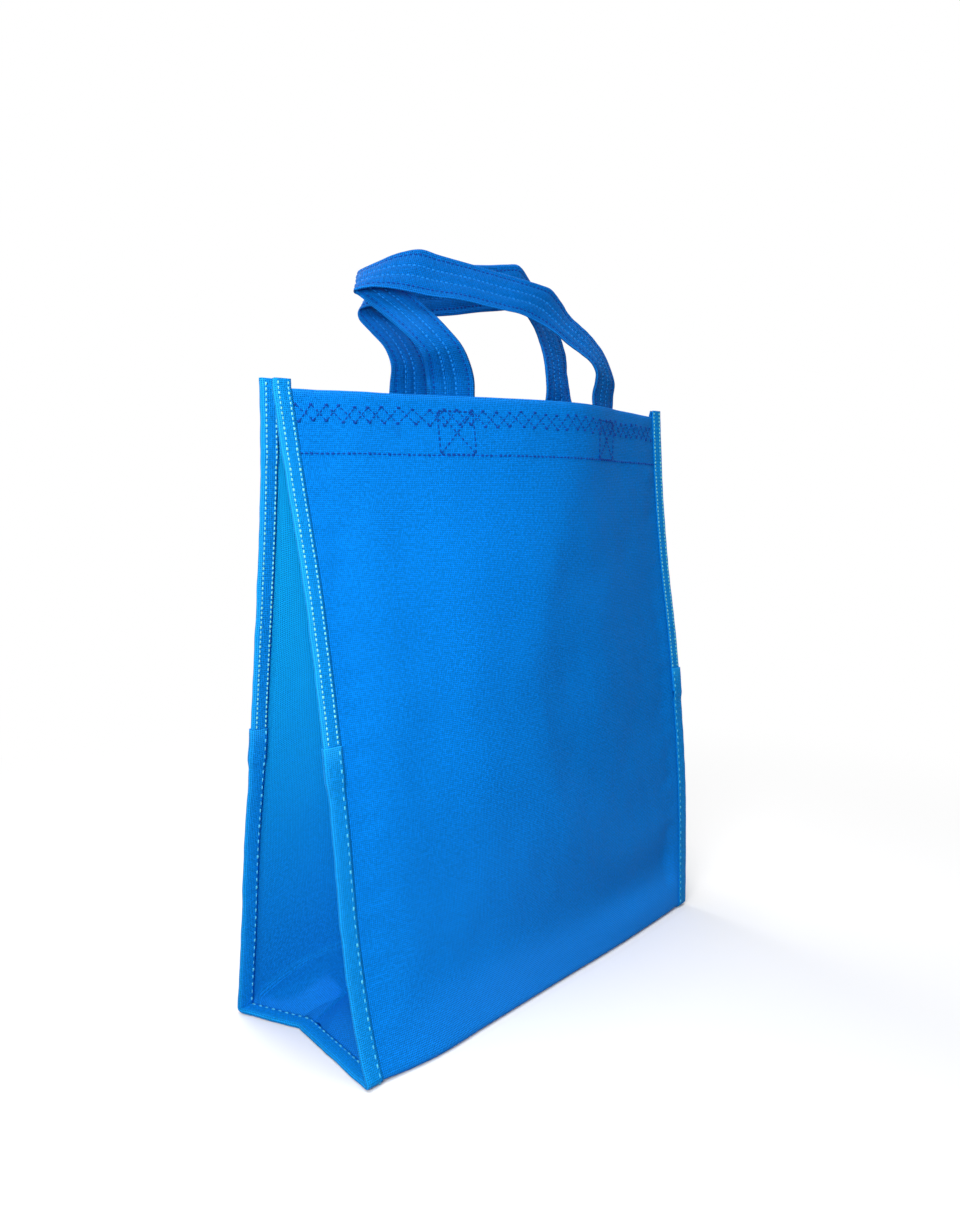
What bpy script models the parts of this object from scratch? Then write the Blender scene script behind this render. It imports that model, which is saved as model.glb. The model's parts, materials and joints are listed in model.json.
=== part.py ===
"""A reusable carrier bag, cut and sewn from non-woven polypropylene cloth.

It stands on its base with its mouth almost closed. X runs across the front, the front faces -Y,
+Z is up, and the origin is the middle of the base, on the floor. Lengths are in metres.
"""

import math

import bmesh
import bpy
import numpy as np
from mathutils import Vector

# Cut sizes
BAG_WIDTH = 0.288  # between the two side seams
BAG_HEIGHT = 0.3525
BASE_DEPTH = 0.112
HEM_DEPTH = 0.0365
SEAM_ALLOWANCE = 0.008
CLOTH = 0.0005
TAPE = 0.0004
STRAP_WIDTH = 0.030
STRAP_THICKNESS = 0.0015
GAP = 0.0003  # between pieces that touch
SEAM_SPARE, SPARE = 0.0001, 0.0002  # a little more room where layers curve over each other

# Folds and edges
FOLD_RADIUS = 0.0035  # along the front and back of the base
HEM_TURN = CLOTH + GAP / 2
BASE_EDGE_RISE = 0.0009  # room for the tape under the base's two side seams
RISE_FROM, RISE_TO = 0.126, 0.142
HEM_STEP = (0.001, 0.006)  # the layers behind a hem step down between these distances below it

# Where each panel stands, as (height, y) along its two side seams
FRONT_LEFT_SEAM = (
    (0.0, -0.0605), (0.015, -0.0550), (0.033, -0.0500), (0.063, -0.0440), (0.13, -0.0365),
    (0.20, -0.0270), (0.25, -0.0185), (0.30, -0.0075), (0.35, 0.0025),
)
FRONT_RIGHT_SEAM = (
    (0.0, -0.0560), (0.10, -0.0535), (0.15, -0.0495), (0.20, -0.0440),
    (0.25, -0.0370), (0.30, -0.0320), (0.35, -0.0290),
)
BACK_LEFT_SEAM = (
    (0.0, 0.0550), (0.05, 0.0485), (0.10, 0.0430), (0.15, 0.0350),
    (0.20, 0.0285), (0.25, 0.0220), (0.30, 0.0165), (0.35, 0.0145),
)
BACK_RIGHT_SEAM = (
    (0.0, 0.0535), (0.05, 0.0500), (0.10, 0.0430), (0.20, 0.0210),
    (0.30, -0.0050), (0.35, -0.0145),
)

# How far each panel stands off the straight line between its seams, as (x, y)
FRONT_FOOT_BULGE = (
    (-0.144, 0.0), (-0.107, -0.0050), (-0.068, -0.0044), (0.0, -0.0036),
    (0.065, -0.0032), (0.144, 0.0),
)
FRONT_TOP_BULGE = (
    (-0.144, 0.0), (-0.100, -0.0040), (-0.054, -0.0175), (0.0, -0.0268),
    (0.045, -0.0285), (0.100, -0.0130), (0.144, 0.0),
)
BACK_TOP_BULGE = (
    (-0.144, 0.0), (-0.057, 0.0012), (0.0, -0.0020), (0.057, -0.0060), (0.144, 0.0),
)
FRONT_BULGE_POWER = 1.2
BACK_BELLY = 0.006  # how far the back panel swells outwards at half its height

# Height of each top edge, as (x, z)
FRONT_TOP_EDGE = ((-0.144, 0.3480), (0.0, 0.3501), (0.144, 0.3505))
BACK_TOP_EDGE = ((-0.144, 0.3490), (0.0, 0.3487), (0.144, 0.3455))

# The foot of each gusset is drawn in to a shallow point
FOOT_INSET = 0.0125
FOOT_INSET_Y = 0.014
INSET_FRONT, INSET_BACK = -0.058, 0.054  # the inset starts and ends here
INSET_FADE = 0.085  # from here to the seam the base's cloth takes up the inset

# Depth of each gusset's fold below the seams, as (height, depth)
FOLD_DEPTH = (
    (0.0, 0.0125), (0.006, 0.0210), (0.020, 0.0265), (0.050, 0.0285), (0.10, 0.0335),
    (0.15, 0.0385), (0.20, 0.0430), (0.25, 0.0465), (0.30, 0.0490), (0.35, 0.0505),
)
FOLD_PLACE = ((0.0, 0.63), (0.05, 0.58), (0.12, 0.52), (0.35, 0.50))
FOLD_SHARPNESS = ((0.0, 1.0), (0.03, 1.15), (0.10, 1.35), (0.35, 1.40))
SEAM_BEND = 0.1425  # where the gusset leaves the seam
GUSSET_ARCH = 0.040  # how high the gusset's rows arch over its foot
GUSSET_ARCH_POWER = 0.8
GUSSET_TOP = 0.001  # its top edge starts this far below the mouth
GUSSET_TOP_DIP = 0.007  # how far its folded top edge sinks below the mouth
GUSSET_HEADROOM = 0.002

# Binding tape round the seam edges
TAPE_LEG_OUTER = 0.1430
TAPE_LEG_INNER = 0.1436
TAPE_STAND = 0.0045  # how far its cut ends stand above the mouth
TAPE_OVERLAP = 0.016
TAPE_LAP_STEPS = (0.001, 0.004, 0.007)  # past a covered tape's end the upper tape comes down again
TAPE_ROUND, TAPE_CORNER, TAPE_CROWN = 0.001, 0.0004, 0.0001  # its turn round the seam's edge
LOWER_TAPE_STARTS = {"left": 0.182, "right": 0.178}  # distance down from the mouth

# Handles
FRONT_FEET = (-0.0525, 0.0670)  # middles of the strap's two sewn ends, across the bag
BACK_FEET = (-0.0570, 0.0570)
HANDLE_SEWN, SEWN_TOP = 0.0335, 0.0015  # a sewn end runs between these distances below the mouth

# Each strap's free route, as the place of its middle and the direction from its first edge to its
# second. The first edge is the outer one at both feet, and the lower one along the top.
FRONT_HANDLE = (
    ((-0.0520, -0.0225, 0.3580), (0.94, -0.34, 0.06)),
    ((-0.0580, -0.0260, 0.3660), (0.95, -0.22, 0.18)),
    ((-0.0645, -0.0285, 0.3730), (0.96, -0.06, 0.27)),
    ((-0.0700, -0.0250, 0.3805), (0.95, -0.01, 0.31)),
    ((-0.0735, -0.0150, 0.3905), (0.93, -0.01, 0.36)),
    ((-0.0790, -0.0040, 0.4010), (0.91, 0.02, 0.42)),
    ((-0.0845, 0.0025, 0.4070), (0.90, 0.10, 0.42)),
    ((-0.0920, 0.0090, 0.4100), (0.62, 0.60, 0.50)),
    ((-0.0850, 0.0020, 0.4140), (0.60, 0.50, 0.62)),
    ((-0.0760, -0.0050, 0.4165), (0.53, 0.32, 0.78)),
    ((-0.0670, -0.0110, 0.4170), (0.46, 0.18, 0.87)),
    ((-0.0575, -0.0150, 0.4155), (0.48, 0.20, 0.85)),
    ((-0.0380, -0.0230, 0.4135), (0.58, 0.23, 0.78)),
    ((-0.0185, -0.0305, 0.4105), (0.67, 0.14, 0.73)),
    ((-0.0086, -0.0348, 0.4089), (0.72, 0.08, 0.69)),
    ((0.0003, -0.0372, 0.4079), (0.73, 0.08, 0.67)),
    ((0.0096, -0.0386, 0.4060), (0.71, 0.10, 0.70)),
    ((0.0180, -0.0394, 0.4019), (0.78, 0.19, 0.60)),
    ((0.0266, -0.0407, 0.3963), (0.82, 0.29, 0.49)),
    ((0.0363, -0.0431, 0.3905), (0.84, 0.28, 0.47)),
    ((0.0460, -0.0456, 0.3845), (0.85, 0.33, 0.41)),
    ((0.0535, -0.0472, 0.3783), (0.90, 0.34, 0.28)),
    ((0.0592, -0.0475, 0.3708), (0.94, 0.30, 0.15)),
    ((0.0632, -0.0455, 0.3645), (0.98, 0.20, 0.10)),
    ((0.0658, -0.0422, 0.3585), (0.98, 0.18, 0.05)),
)
BACK_HANDLE = (
    ((-0.0575, 0.0045, 0.3580), (0.99, -0.06, 0.06)),
    ((-0.0580, 0.0045, 0.3680), (0.98, 0.05, 0.14)),
    ((-0.0600, 0.0085, 0.3790), (0.96, 0.14, 0.22)),
    ((-0.0650, 0.0165, 0.3910), (0.93, 0.15, 0.33)),
    ((-0.0690, 0.0220, 0.3985), (0.90, 0.20, 0.38)),
    ((-0.0710, 0.0270, 0.4060), (0.70, 0.50, 0.50)),
    ((-0.0640, 0.0260, 0.4120), (0.45, 0.55, 0.70)),
    ((-0.0540, 0.0220, 0.4130), (0.20, 0.45, 0.87)),
    ((-0.0430, 0.0170, 0.4125), (0.10, 0.40, 0.91)),
    ((-0.0240, 0.0090, 0.4155), (0.00, 0.27, 0.96)),
    ((-0.0055, 0.0040, 0.4195), (-0.04, 0.25, 0.97)),
    ((0.0132, 0.0013, 0.4226), (0.04, 0.25, 0.97)),
    ((0.0223, -0.0008, 0.4242), (0.11, 0.21, 0.97)),
    ((0.0307, -0.0024, 0.4248), (0.18, 0.15, 0.97)),
    ((0.0378, -0.0034, 0.4201), (0.46, 0.30, 0.84)),
    ((0.0438, -0.0051, 0.4127), (0.70, 0.33, 0.63)),
    ((0.0494, -0.0063, 0.4051), (0.83, 0.31, 0.47)),
    ((0.0532, -0.0087, 0.3962), (0.91, 0.23, 0.35)),
    ((0.0555, -0.0114, 0.3847), (0.96, 0.18, 0.21)),
    ((0.0555, -0.0132, 0.3712), (0.97, 0.19, 0.14)),
    ((0.0560, -0.0142, 0.3590), (0.98, 0.12, 0.05)),
)

# Cloth and tape colours
BODY_BLUE = (0.010, 0.205, 0.740, 1.0)
GUSSET_BLUE = (0.010, 0.230, 0.760, 1.0)
TAPE_BLUE = (0.020, 0.330, 0.800, 1.0)
STRAP_BLUE = (0.010, 0.170, 0.650, 1.0)
CLOTH_ROUGHNESS, TAPE_ROUGHNESS, STRAP_ROUGHNESS = 0.62, 0.55, 0.60

# Distances along the body strip, from the front's top edge, over the base, to the back's
FRONT_END = BAG_HEIGHT - FOLD_RADIUS
BASE_START = FRONT_END + FOLD_RADIUS * math.pi / 2
BASE_END = BASE_START + BASE_DEPTH - 2 * FOLD_RADIUS
BACK_START = BASE_END + FOLD_RADIUS * math.pi / 2
STRIP_LENGTH = BACK_START + FRONT_END
OUTER_EDGE = BAG_WIDTH / 2 + SEAM_ALLOWANCE
FOOT_APEX = (BASE_START + BASE_END) / 2 + FOOT_INSET_Y
HEM_PLY_END, HEM_STEP_END = HEM_DEPTH + HEM_STEP[0], HEM_DEPTH + HEM_STEP[1]

# How finely each piece is divided
SLOPE_STEP = 0.0001  # the cloth's slope is measured over this
PANEL_STEPS, FOLD_STEPS, HEM_TURN_STEPS = 9, 3, 4
BASE_ROWS = (0.020, 0.045, 0.088)  # back from the base's front fold
PANEL_COLUMNS = (0.0, 0.020, 0.040, 0.057, 0.075, 0.095, 0.115, RISE_FROM, 0.134, RISE_TO, OUTER_EDGE)
GUSSET_COLUMNS = (0.05, 0.14, 0.25, 0.37, 0.46, 0.54, 0.63, 0.75, 0.86, 0.95)  # shares front to back
FOOT_ROWS = (0.25, 0.5, 0.75)  # shares of the way from the base's folds to the gusset's apex
FOOT_SEAM_ROWS = ((0.88, SEAM_BEND), (0.95, OUTER_EDGE))
STRAP_COLUMNS = (-0.5, -0.17, 0.17, 0.5)  # shares of the strap's width


def through(points, x):
    """A smooth curve through (x, value) points, straight beyond its two ends."""
    at = np.array([p[0] for p in points], float)
    value = np.array([p[1] for p in points], float)
    x = np.asarray(x, float)
    slope = np.gradient(value, at, axis=0)
    i = np.clip(np.searchsorted(at, x) - 1, 0, len(at) - 2)
    step = at[i + 1] - at[i]
    t = np.clip((x - at[i]) / step, 0.0, 1.0)
    past = x - np.clip(x, at[0], at[-1])
    if value.ndim > 1:
        t, step, past = t[..., None], step[..., None], past[..., None]
    low, high = value[i], value[i + 1]
    curve = (
        (2 * t**3 - 3 * t**2 + 1) * low
        + (t**3 - 2 * t**2 + t) * step * slope[i]
        + (3 * t**2 - 2 * t**3) * high
        + (t**3 - t**2) * step * slope[i + 1]
    )
    beyond = np.where(past > 0, slope[-1], slope[0])
    return curve + past * beyond


def smooth(low, high, x):
    """0 below low, 1 above high, with a smooth rise between."""
    t = np.clip((x - low) / (high - low), 0.0, 1.0)
    return t * t * (3 - 2 * t)


def between(left, right, u, z):
    """A panel's y at u across, on the straight line between its seams at height z."""
    share = u / BAG_WIDTH + 0.5
    return (1 - share) * through(left, z) + share * through(right, z)


def front_y(u, z):
    """Outer face of the front panel at u across and height z."""
    inner = np.clip(u, -BAG_WIDTH / 2, BAG_WIDTH / 2)
    ramp = np.clip(z / BAG_HEIGHT, 0.0, 1.0) ** FRONT_BULGE_POWER
    bulge = (1 - ramp) * through(FRONT_FOOT_BULGE, inner) + ramp * through(FRONT_TOP_BULGE, inner)
    return between(FRONT_LEFT_SEAM, FRONT_RIGHT_SEAM, u, z) + bulge


def back_y(u, z):
    """Outer face of the back panel at u across and height z."""
    inner = np.clip(u, -BAG_WIDTH / 2, BAG_WIDTH / 2)
    rise = np.clip(z / BAG_HEIGHT, 0.0, 1.0)
    belly = BACK_BELLY * np.sin(math.pi * rise) * (1 - (2 * inner / BAG_WIDTH) ** 2)
    return between(BACK_LEFT_SEAM, BACK_RIGHT_SEAM, u, z) + rise * through(BACK_TOP_BULGE, inner) + belly


def foot_inset(y):
    """How far a side seam of the base is drawn in at y."""
    reach = np.where(y < FOOT_INSET_Y, FOOT_INSET_Y - INSET_FRONT, INSET_BACK - FOOT_INSET_Y)
    return FOOT_INSET * np.clip(1 - np.abs(y - FOOT_INSET_Y) / reach, 0.0, 1.0)


def strip(u, s):
    """Point on the outer face of the body strip: u across, s down the front and up the back."""
    u, s = np.broadcast_arrays(np.asarray(u, float), np.asarray(s, float))
    front_top = through(FRONT_TOP_EDGE, u)
    back_top = through(BACK_TOP_EDGE, u)
    front_foot = front_y(u, FOLD_RADIUS + 0 * u)
    back_foot = back_y(u, FOLD_RADIUS + 0 * u)
    z_front = front_top + (FOLD_RADIUS - front_top) * s / FRONT_END
    z_back = FOLD_RADIUS + (back_top - FOLD_RADIUS) * (s - BACK_START) / FRONT_END
    angle_front = (s - FRONT_END) / FOLD_RADIUS
    angle_back = (s - BASE_END) / FOLD_RADIUS
    along = (s - BASE_START) / (BASE_END - BASE_START)
    base_y = (1 - along) * (front_foot + FOLD_RADIUS) + along * (back_foot - FOLD_RADIUS)
    zone = [s < FRONT_END, s < BASE_START, s < BASE_END, s < BACK_START]
    y = np.select(
        zone,
        [
            front_y(u, z_front),
            front_foot + FOLD_RADIUS * (1 - np.cos(angle_front)),
            base_y,
            back_foot - FOLD_RADIUS * (1 - np.sin(angle_back)),
        ],
        back_y(u, z_back),
    )
    z = np.select(
        zone,
        [
            z_front,
            FOLD_RADIUS * (1 - np.sin(angle_front)),
            0 * s,
            FOLD_RADIUS * (1 - np.cos(angle_back)),
        ],
        z_back,
    )
    low = np.clip(1 - z / FOLD_RADIUS, 0.0, 1.0)
    drawn_in = foot_inset(y) * smooth(INSET_FADE, BAG_WIDTH / 2, np.abs(u)) * low
    x = u - np.sign(u) * drawn_in
    z = z + BASE_EDGE_RISE * smooth(RISE_FROM, RISE_TO, np.abs(u)) * low
    return np.stack([x, y, z], -1)


def inward(u, s):
    """Unit vector into the bag from the strip's outer face."""
    across = strip(u + SLOPE_STEP, s) - strip(u - SLOPE_STEP, s)
    along = strip(u, s + SLOPE_STEP) - strip(u, s - SLOPE_STEP)
    normal = np.cross(across, along)
    return normal / np.linalg.norm(normal, axis=-1, keepdims=True)


def layer(u, s, depth):
    """Point at a depth inside the strip's outer face; a negative depth is outside it."""
    return strip(u, s) + inward(u, s) * np.asarray(depth, float)[..., None]


def from_mouth(s):
    """Distance down from the nearer top edge."""
    return np.minimum(s, STRIP_LENGTH - s)


def seam_stations():
    """Distances along the strip at which every piece in a side seam has its corners."""
    hem = [0.0, HEM_PLY_END, HEM_STEP_END]
    panel = list(np.linspace(HEM_STEP_END, FRONT_END, PANEL_STEPS + 1)[1:])
    fold = list(np.linspace(FRONT_END, BASE_START, FOLD_STEPS + 1)[1:])
    half = hem + panel + fold
    return np.array(half + [FOOT_APEX] + [STRIP_LENGTH - s for s in reversed(half)])


def seam_layer(u, s, depth):
    """A layer of the side seam, straight between the seam's stations."""
    stations = seam_stations()
    place, normal = strip(u, stations), inward(u, stations)
    ahead = s[..., None] < stations[0]
    behind = s[..., None] > stations[-1]
    at = np.stack([np.interp(s, stations, place[:, k]) for k in range(3)], -1)
    at += np.where(ahead, (place[1] - place[0]) * ((s[..., None] - stations[0]) / stations[1]), 0.0)
    at += np.where(behind, (place[-1] - place[-2]) * ((s[..., None] - stations[-1]) / stations[1]), 0.0)
    lean = np.stack([np.interp(s, stations, normal[:, k]) for k in range(3)], -1)
    return at + lean * np.asarray(depth, float)[..., None]


def gusset_depth(s):
    """Depth of the gusset's seam allowance in the seam: it lies behind one ply, or two at a hem."""
    one_ply = 2 * CLOTH + GAP + SEAM_SPARE
    return np.interp(from_mouth(s), [HEM_PLY_END, HEM_STEP_END], [one_ply + CLOTH + GAP, one_ply])


def collection(name):
    made = bpy.data.collections.new(name)
    bpy.context.scene.collection.children.link(made)
    return made


def cloth_material(name, colour, roughness):
    material = bpy.data.materials.new(name)
    material.use_nodes = True
    shader = material.node_tree.nodes["Principled BSDF"]
    shader.inputs["Base Color"].default_value = colour
    shader.inputs["Roughness"].default_value = roughness
    shader.inputs["Metallic"].default_value = 0.0
    material.diffuse_color = colour
    return material


def sheet(name, points, thickness, offset, material, into, flip=False):
    """A solid sheet from a grid of points, thickened to one side or to both."""
    rows, columns = points.shape[:2]
    bm = bmesh.new()
    bmesh.ops.create_grid(bm, x_segments=columns - 1, y_segments=rows - 1, size=1.0)
    bm.verts.ensure_lookup_table()
    order = sorted(bm.verts, key=lambda v: (round(v.co.y, 6), round(v.co.x, 6)))
    for vert, point in zip(order, points.reshape(-1, 3)):
        vert.co = Vector(point)
    if flip:
        bmesh.ops.reverse_faces(bm, faces=bm.faces)
    mesh = bpy.data.meshes.new(name)
    bm.to_mesh(mesh)
    bm.free()
    mesh.materials.append(material)
    mesh.shade_smooth()
    piece = bpy.data.objects.new(name, mesh)
    into.objects.link(piece)
    solid = piece.modifiers.new("Thickness", "SOLIDIFY")
    solid.thickness = thickness
    solid.offset = offset
    solid.use_even_offset = True
    return piece


def mirrored(values):
    """A symmetric list of distances across the bag, from its right half."""
    return np.array([-v for v in reversed(values)] + [v for v in values if v > 0])


def body_panel(into, material):
    """The strip that makes the front, base and back, with a hem folded in at each end."""
    angles = np.linspace(0, math.pi, HEM_TURN_STEPS + 1)
    turn = [(HEM_TURN * (1 - math.sin(a)), HEM_TURN * (1 + math.cos(a))) for a in angles]
    start = [(HEM_DEPTH, 2 * HEM_TURN), (HEM_DEPTH / 2, 2 * HEM_TURN)] + turn
    stations = seam_stations()
    front = [(s, 0.0) for s in stations if HEM_TURN < s <= BASE_START]
    base = [(s, 0.0) for s in sorted([BASE_START + row for row in BASE_ROWS] + [FOOT_APEX])]
    half = start + front
    back = [(STRIP_LENGTH - s, depth) for s, depth in reversed(half)]
    path = np.array(half + base + back)
    across = mirrored(PANEL_COLUMNS)
    u, s = np.meshgrid(across, path[:, 0])
    depth = np.repeat(path[:, 1:2], len(across), axis=1)
    return sheet("body_panel", layer(u, s, depth), CLOTH, -1, material, into, flip=True)


def fold_depth(p, q):
    """How far a gusset stands in from its seams, at share p from front to back and height q."""
    place = through(FOLD_PLACE, q)
    reach = np.where(p < place, place, 1 - place)
    return through(FOLD_DEPTH, q) * (1 - (np.abs(p - place) / reach) ** through(FOLD_SHARPNESS, q))


def gusset_point(side, p, q):
    """Point on a gusset's outer face inside its seams."""
    x = side * (SEAM_BEND - fold_depth(p, q))
    z = q + BASE_EDGE_RISE + 2 * CLOTH + GAP
    down = BAG_HEIGHT - q
    skin = gusset_depth(down) + SPARE
    y = (1 - p) * (front_y(x, z) + skin) + p * (back_y(x, z) - skin)
    return np.stack([x, y, z], -1)


def gusset(name, side, into, material):
    """A side panel: its rows run from seam to seam, and arch over its foot."""
    inside = np.array(GUSSET_COLUMNS)
    arch = np.sin(math.pi * inside) ** GUSSET_ARCH_POWER
    rows = []

    def row(front_s, back_s, middle):
        ends = np.array([front_s, back_s])
        seam = seam_layer(side * SEAM_BEND, ends, gusset_depth(ends))
        edge = seam_layer(side * OUTER_EDGE, ends, gusset_depth(ends))
        rows.append(np.concatenate([edge[:1], seam[:1], middle, seam[1:], edge[1:]]))

    stations = seam_stations()
    for s in np.append(GUSSET_TOP, stations[(stations > 0) & (stations <= BASE_START)]):
        low = BAG_HEIGHT - min(s, FRONT_END)
        middle_height = GUSSET_ARCH + (BAG_HEIGHT - GUSSET_ARCH) * (low - FOLD_RADIUS) / FRONT_END
        rise = min(middle_height, BAG_HEIGHT - GUSSET_HEADROOM) - low
        q = low + rise * arch - GUSSET_TOP_DIP * (s < HEM_DEPTH)
        row(s, STRIP_LENGTH - s, gusset_point(side, inside, np.maximum(q, 0.0)))
    for r in FOOT_ROWS:
        front_s = BASE_START + r * (FOOT_APEX - BASE_START)
        back_s = BASE_END + r * (FOOT_APEX - BASE_END)
        spread = BASE_END - BASE_START
        p = (front_s + (back_s - front_s) * inside - BASE_START) / spread
        row(front_s, back_s, gusset_point(side, p, GUSSET_ARCH * (1 - r) * arch))
    for r, across in FOOT_SEAM_ROWS:
        front_s = BASE_START + r * (FOOT_APEX - BASE_START)
        back_s = BASE_END + r * (FOOT_APEX - BASE_END)
        s = front_s + (back_s - front_s) * inside
        seam = seam_layer(side * across, s, gusset_depth(s))
        if across == SEAM_BEND:
            row(front_s, back_s, seam)
        else:
            ends = np.linspace(front_s, s[0], 3)[:2]
            far = np.linspace(s[-1], back_s, 3)[1:]
            first = seam_layer(side * across, ends, gusset_depth(ends))
            last = seam_layer(side * across, far, gusset_depth(far))
            rows.append(np.concatenate([first, seam, last]))
    return sheet(name, np.array(rows), CLOTH, -1, material, into, flip=side > 0)


def across_seam(across, s, depth):
    """A seam layer whose distance across may change along the seam."""
    near = seam_layer(math.copysign(SEAM_BEND, across[0]), s, depth)
    far = seam_layer(math.copysign(OUTER_EDGE, across[0]), s, depth)
    share = (np.abs(across) - SEAM_BEND) / (OUTER_EDGE - SEAM_BEND)
    return near + (far - near) * share[:, None]


def lapping(s, end):
    """1 where a tape lies over another tape's end, 0 well past that end."""
    past = (s - end) * (1 if end < STRIP_LENGTH / 2 else -1)
    return 1 - smooth(TAPE_LAP_STEPS[0], TAPE_LAP_STEPS[-1], past)


def binding(name, side, stretch, under, into, material):
    """Folded tape round one stretch of a seam's edge; it lies over the tape ends listed in under."""
    stops = set(stretch) | {v for v in seam_stations() if stretch[0] < v < stretch[1]}
    for end in under:
        stops |= {end + way * step for way in (-1, 1) for step in TAPE_LAP_STEPS}
    s = np.array(sorted(stops))
    lifted = np.zeros_like(s)
    for end in under:
        lifted = np.maximum(lifted, lapping(s, end))
    lifted = lifted * (TAPE + GAP)
    pinch = np.clip(from_mouth(s) / TAPE_STAND, -1.0, 0.0)
    inner = gusset_depth(s) * (1 + 0.5 * pinch) + GAP + lifted
    outer = -GAP - lifted
    rim = OUTER_EDGE + GAP + lifted
    middle = (inner + outer) / 2
    section = [
        (TAPE_LEG_OUTER + 0 * s, outer),
        (rim - TAPE_ROUND, outer),
        (rim, outer + TAPE_CORNER),
        (rim + TAPE_CROWN, middle),
        (rim, inner - TAPE_CORNER),
        (rim - TAPE_ROUND, inner),
        (TAPE_LEG_INNER + 0 * s, inner),
    ]
    rows = [across_seam(side * across, s, depth) for across, depth in section]
    return sheet(name, np.array(rows), TAPE, -1, material, into, flip=side > 0)


def strap_middle(route, front):
    """A handle's stations: both sewn ends behind the hems, and its free route between."""
    depth = 2 * HEM_TURN + GAP + STRAP_THICKNESS / 2 + SPARE
    half = STRAP_WIDTH / 2
    edges = []
    for foot in FRONT_FEET if front else BACK_FEET:
        for down in (HANDLE_SEWN, HANDLE_SEWN / 2, SEWN_TOP):
            s = down if front else STRIP_LENGTH - down
            u = foot + half * np.array([-1, 1])
            edges.append(layer(u, s + 0 * u, depth + 0 * u))
    free = []
    for place, across in route:
        reach = np.array(across) / np.linalg.norm(across) * half
        free.append(np.stack([np.array(place) - reach, np.array(place) + reach]))
    return np.array(edges[:3] + free + edges[:2:-1])


def handle(name, route, front, into, material):
    """A strap of folded cloth, sewn flat behind the hem at both ends."""
    stations = strap_middle(route, front)
    centre = stations.mean(axis=1)
    run = np.concatenate([[0.0], np.cumsum(np.linalg.norm(np.diff(centre, axis=0), axis=1))])
    places = list(zip(run, centre))
    widths = list(zip(run, stations[:, 1] - stations[:, 0]))
    s = np.sort(np.concatenate([run, (run[1:] + run[:-1]) / 2]))
    middle = through(places, s)
    across = through(widths, s)
    across /= np.linalg.norm(across, axis=1, keepdims=True)
    rows = [middle + across * share * STRAP_WIDTH for share in STRAP_COLUMNS]
    return sheet(name, np.array(rows), STRAP_THICKNESS, 0, material, into)


def main():
    for item in list(bpy.data.objects):
        bpy.data.objects.remove(item, do_unlink=True)
    bag = collection("carrier_bag")
    cloth = cloth_material("body_cloth", BODY_BLUE, CLOTH_ROUGHNESS)
    side_cloth = cloth_material("gusset_cloth", GUSSET_BLUE, CLOTH_ROUGHNESS)
    tape = cloth_material("binding_tape", TAPE_BLUE, TAPE_ROUGHNESS)
    strap = cloth_material("strap_cloth", STRAP_BLUE, STRAP_ROUGHNESS)
    body_panel(bag, cloth)
    handle("handle_front", FRONT_HANDLE, True, bag, strap)
    handle("handle_back", BACK_HANDLE, False, bag, strap)
    for word, side in (("left", -1), ("right", 1)):
        gusset("gusset_" + word, side, bag, side_cloth)
        start = LOWER_TAPE_STARTS[word]
        front_end = start + TAPE_OVERLAP
        back_end = STRIP_LENGTH - front_end
        binding("binding_front_" + word, side, (-TAPE_STAND, front_end), (), bag, tape)
        binding("binding_back_" + word, side, (back_end, STRIP_LENGTH + TAPE_STAND), (), bag, tape)
        lower = (start, STRIP_LENGTH - start)
        binding("binding_lower_" + word, side, lower, (front_end, back_end), bag, tape)


main()
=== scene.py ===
"""The looks of a reusable carrier bag of non-woven polypropylene cloth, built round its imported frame.

X runs across the front, the front faces -Y, +Z is up and lengths are in metres. A place on the long
body strip is u across and s along it: down the front, under the base and up the back.
"""

import json
import math

import bpy
import numpy as np
from mathutils import Matrix, Vector

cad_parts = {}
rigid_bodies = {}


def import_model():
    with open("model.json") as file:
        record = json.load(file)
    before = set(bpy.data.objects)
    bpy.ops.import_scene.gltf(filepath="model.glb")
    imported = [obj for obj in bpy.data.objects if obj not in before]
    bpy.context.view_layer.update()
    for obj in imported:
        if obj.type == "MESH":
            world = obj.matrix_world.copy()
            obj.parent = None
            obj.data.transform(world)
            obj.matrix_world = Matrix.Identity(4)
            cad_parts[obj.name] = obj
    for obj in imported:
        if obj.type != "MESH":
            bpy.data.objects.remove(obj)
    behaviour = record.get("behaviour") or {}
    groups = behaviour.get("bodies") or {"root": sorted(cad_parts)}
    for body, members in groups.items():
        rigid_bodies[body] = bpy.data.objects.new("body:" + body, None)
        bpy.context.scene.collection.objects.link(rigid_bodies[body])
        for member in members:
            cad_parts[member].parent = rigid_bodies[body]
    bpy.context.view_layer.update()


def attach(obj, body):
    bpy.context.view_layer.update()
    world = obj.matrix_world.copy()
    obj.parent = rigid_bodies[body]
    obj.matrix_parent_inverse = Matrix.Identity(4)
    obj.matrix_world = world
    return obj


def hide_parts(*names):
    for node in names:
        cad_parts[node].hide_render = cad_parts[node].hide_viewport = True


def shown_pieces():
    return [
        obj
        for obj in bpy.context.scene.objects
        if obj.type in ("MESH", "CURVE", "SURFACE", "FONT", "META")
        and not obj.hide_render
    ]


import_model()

# Cut sizes, as in the frame
BAG_WIDTH = 0.288
BAG_HEIGHT = 0.3525
BASE_DEPTH = 0.112
HEM_DEPTH = 0.0365
SEAM_ALLOWANCE = 0.008
CLOTH = 0.0005
TAPE = 0.0004
STRAP_WIDTH = 0.030
STRAP_THICKNESS = 0.0015
GAP = 0.0003
SEAM_SPARE, SPARE = 0.0001, 0.0002

# Folds and edges, as in the frame
FOLD_RADIUS = 0.0035
HEM_TURN = CLOTH + GAP / 2
BASE_EDGE_RISE = 0.0009
RISE_FROM, RISE_TO = 0.126, 0.142
HEM_STEP = (0.001, 0.006)

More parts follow.
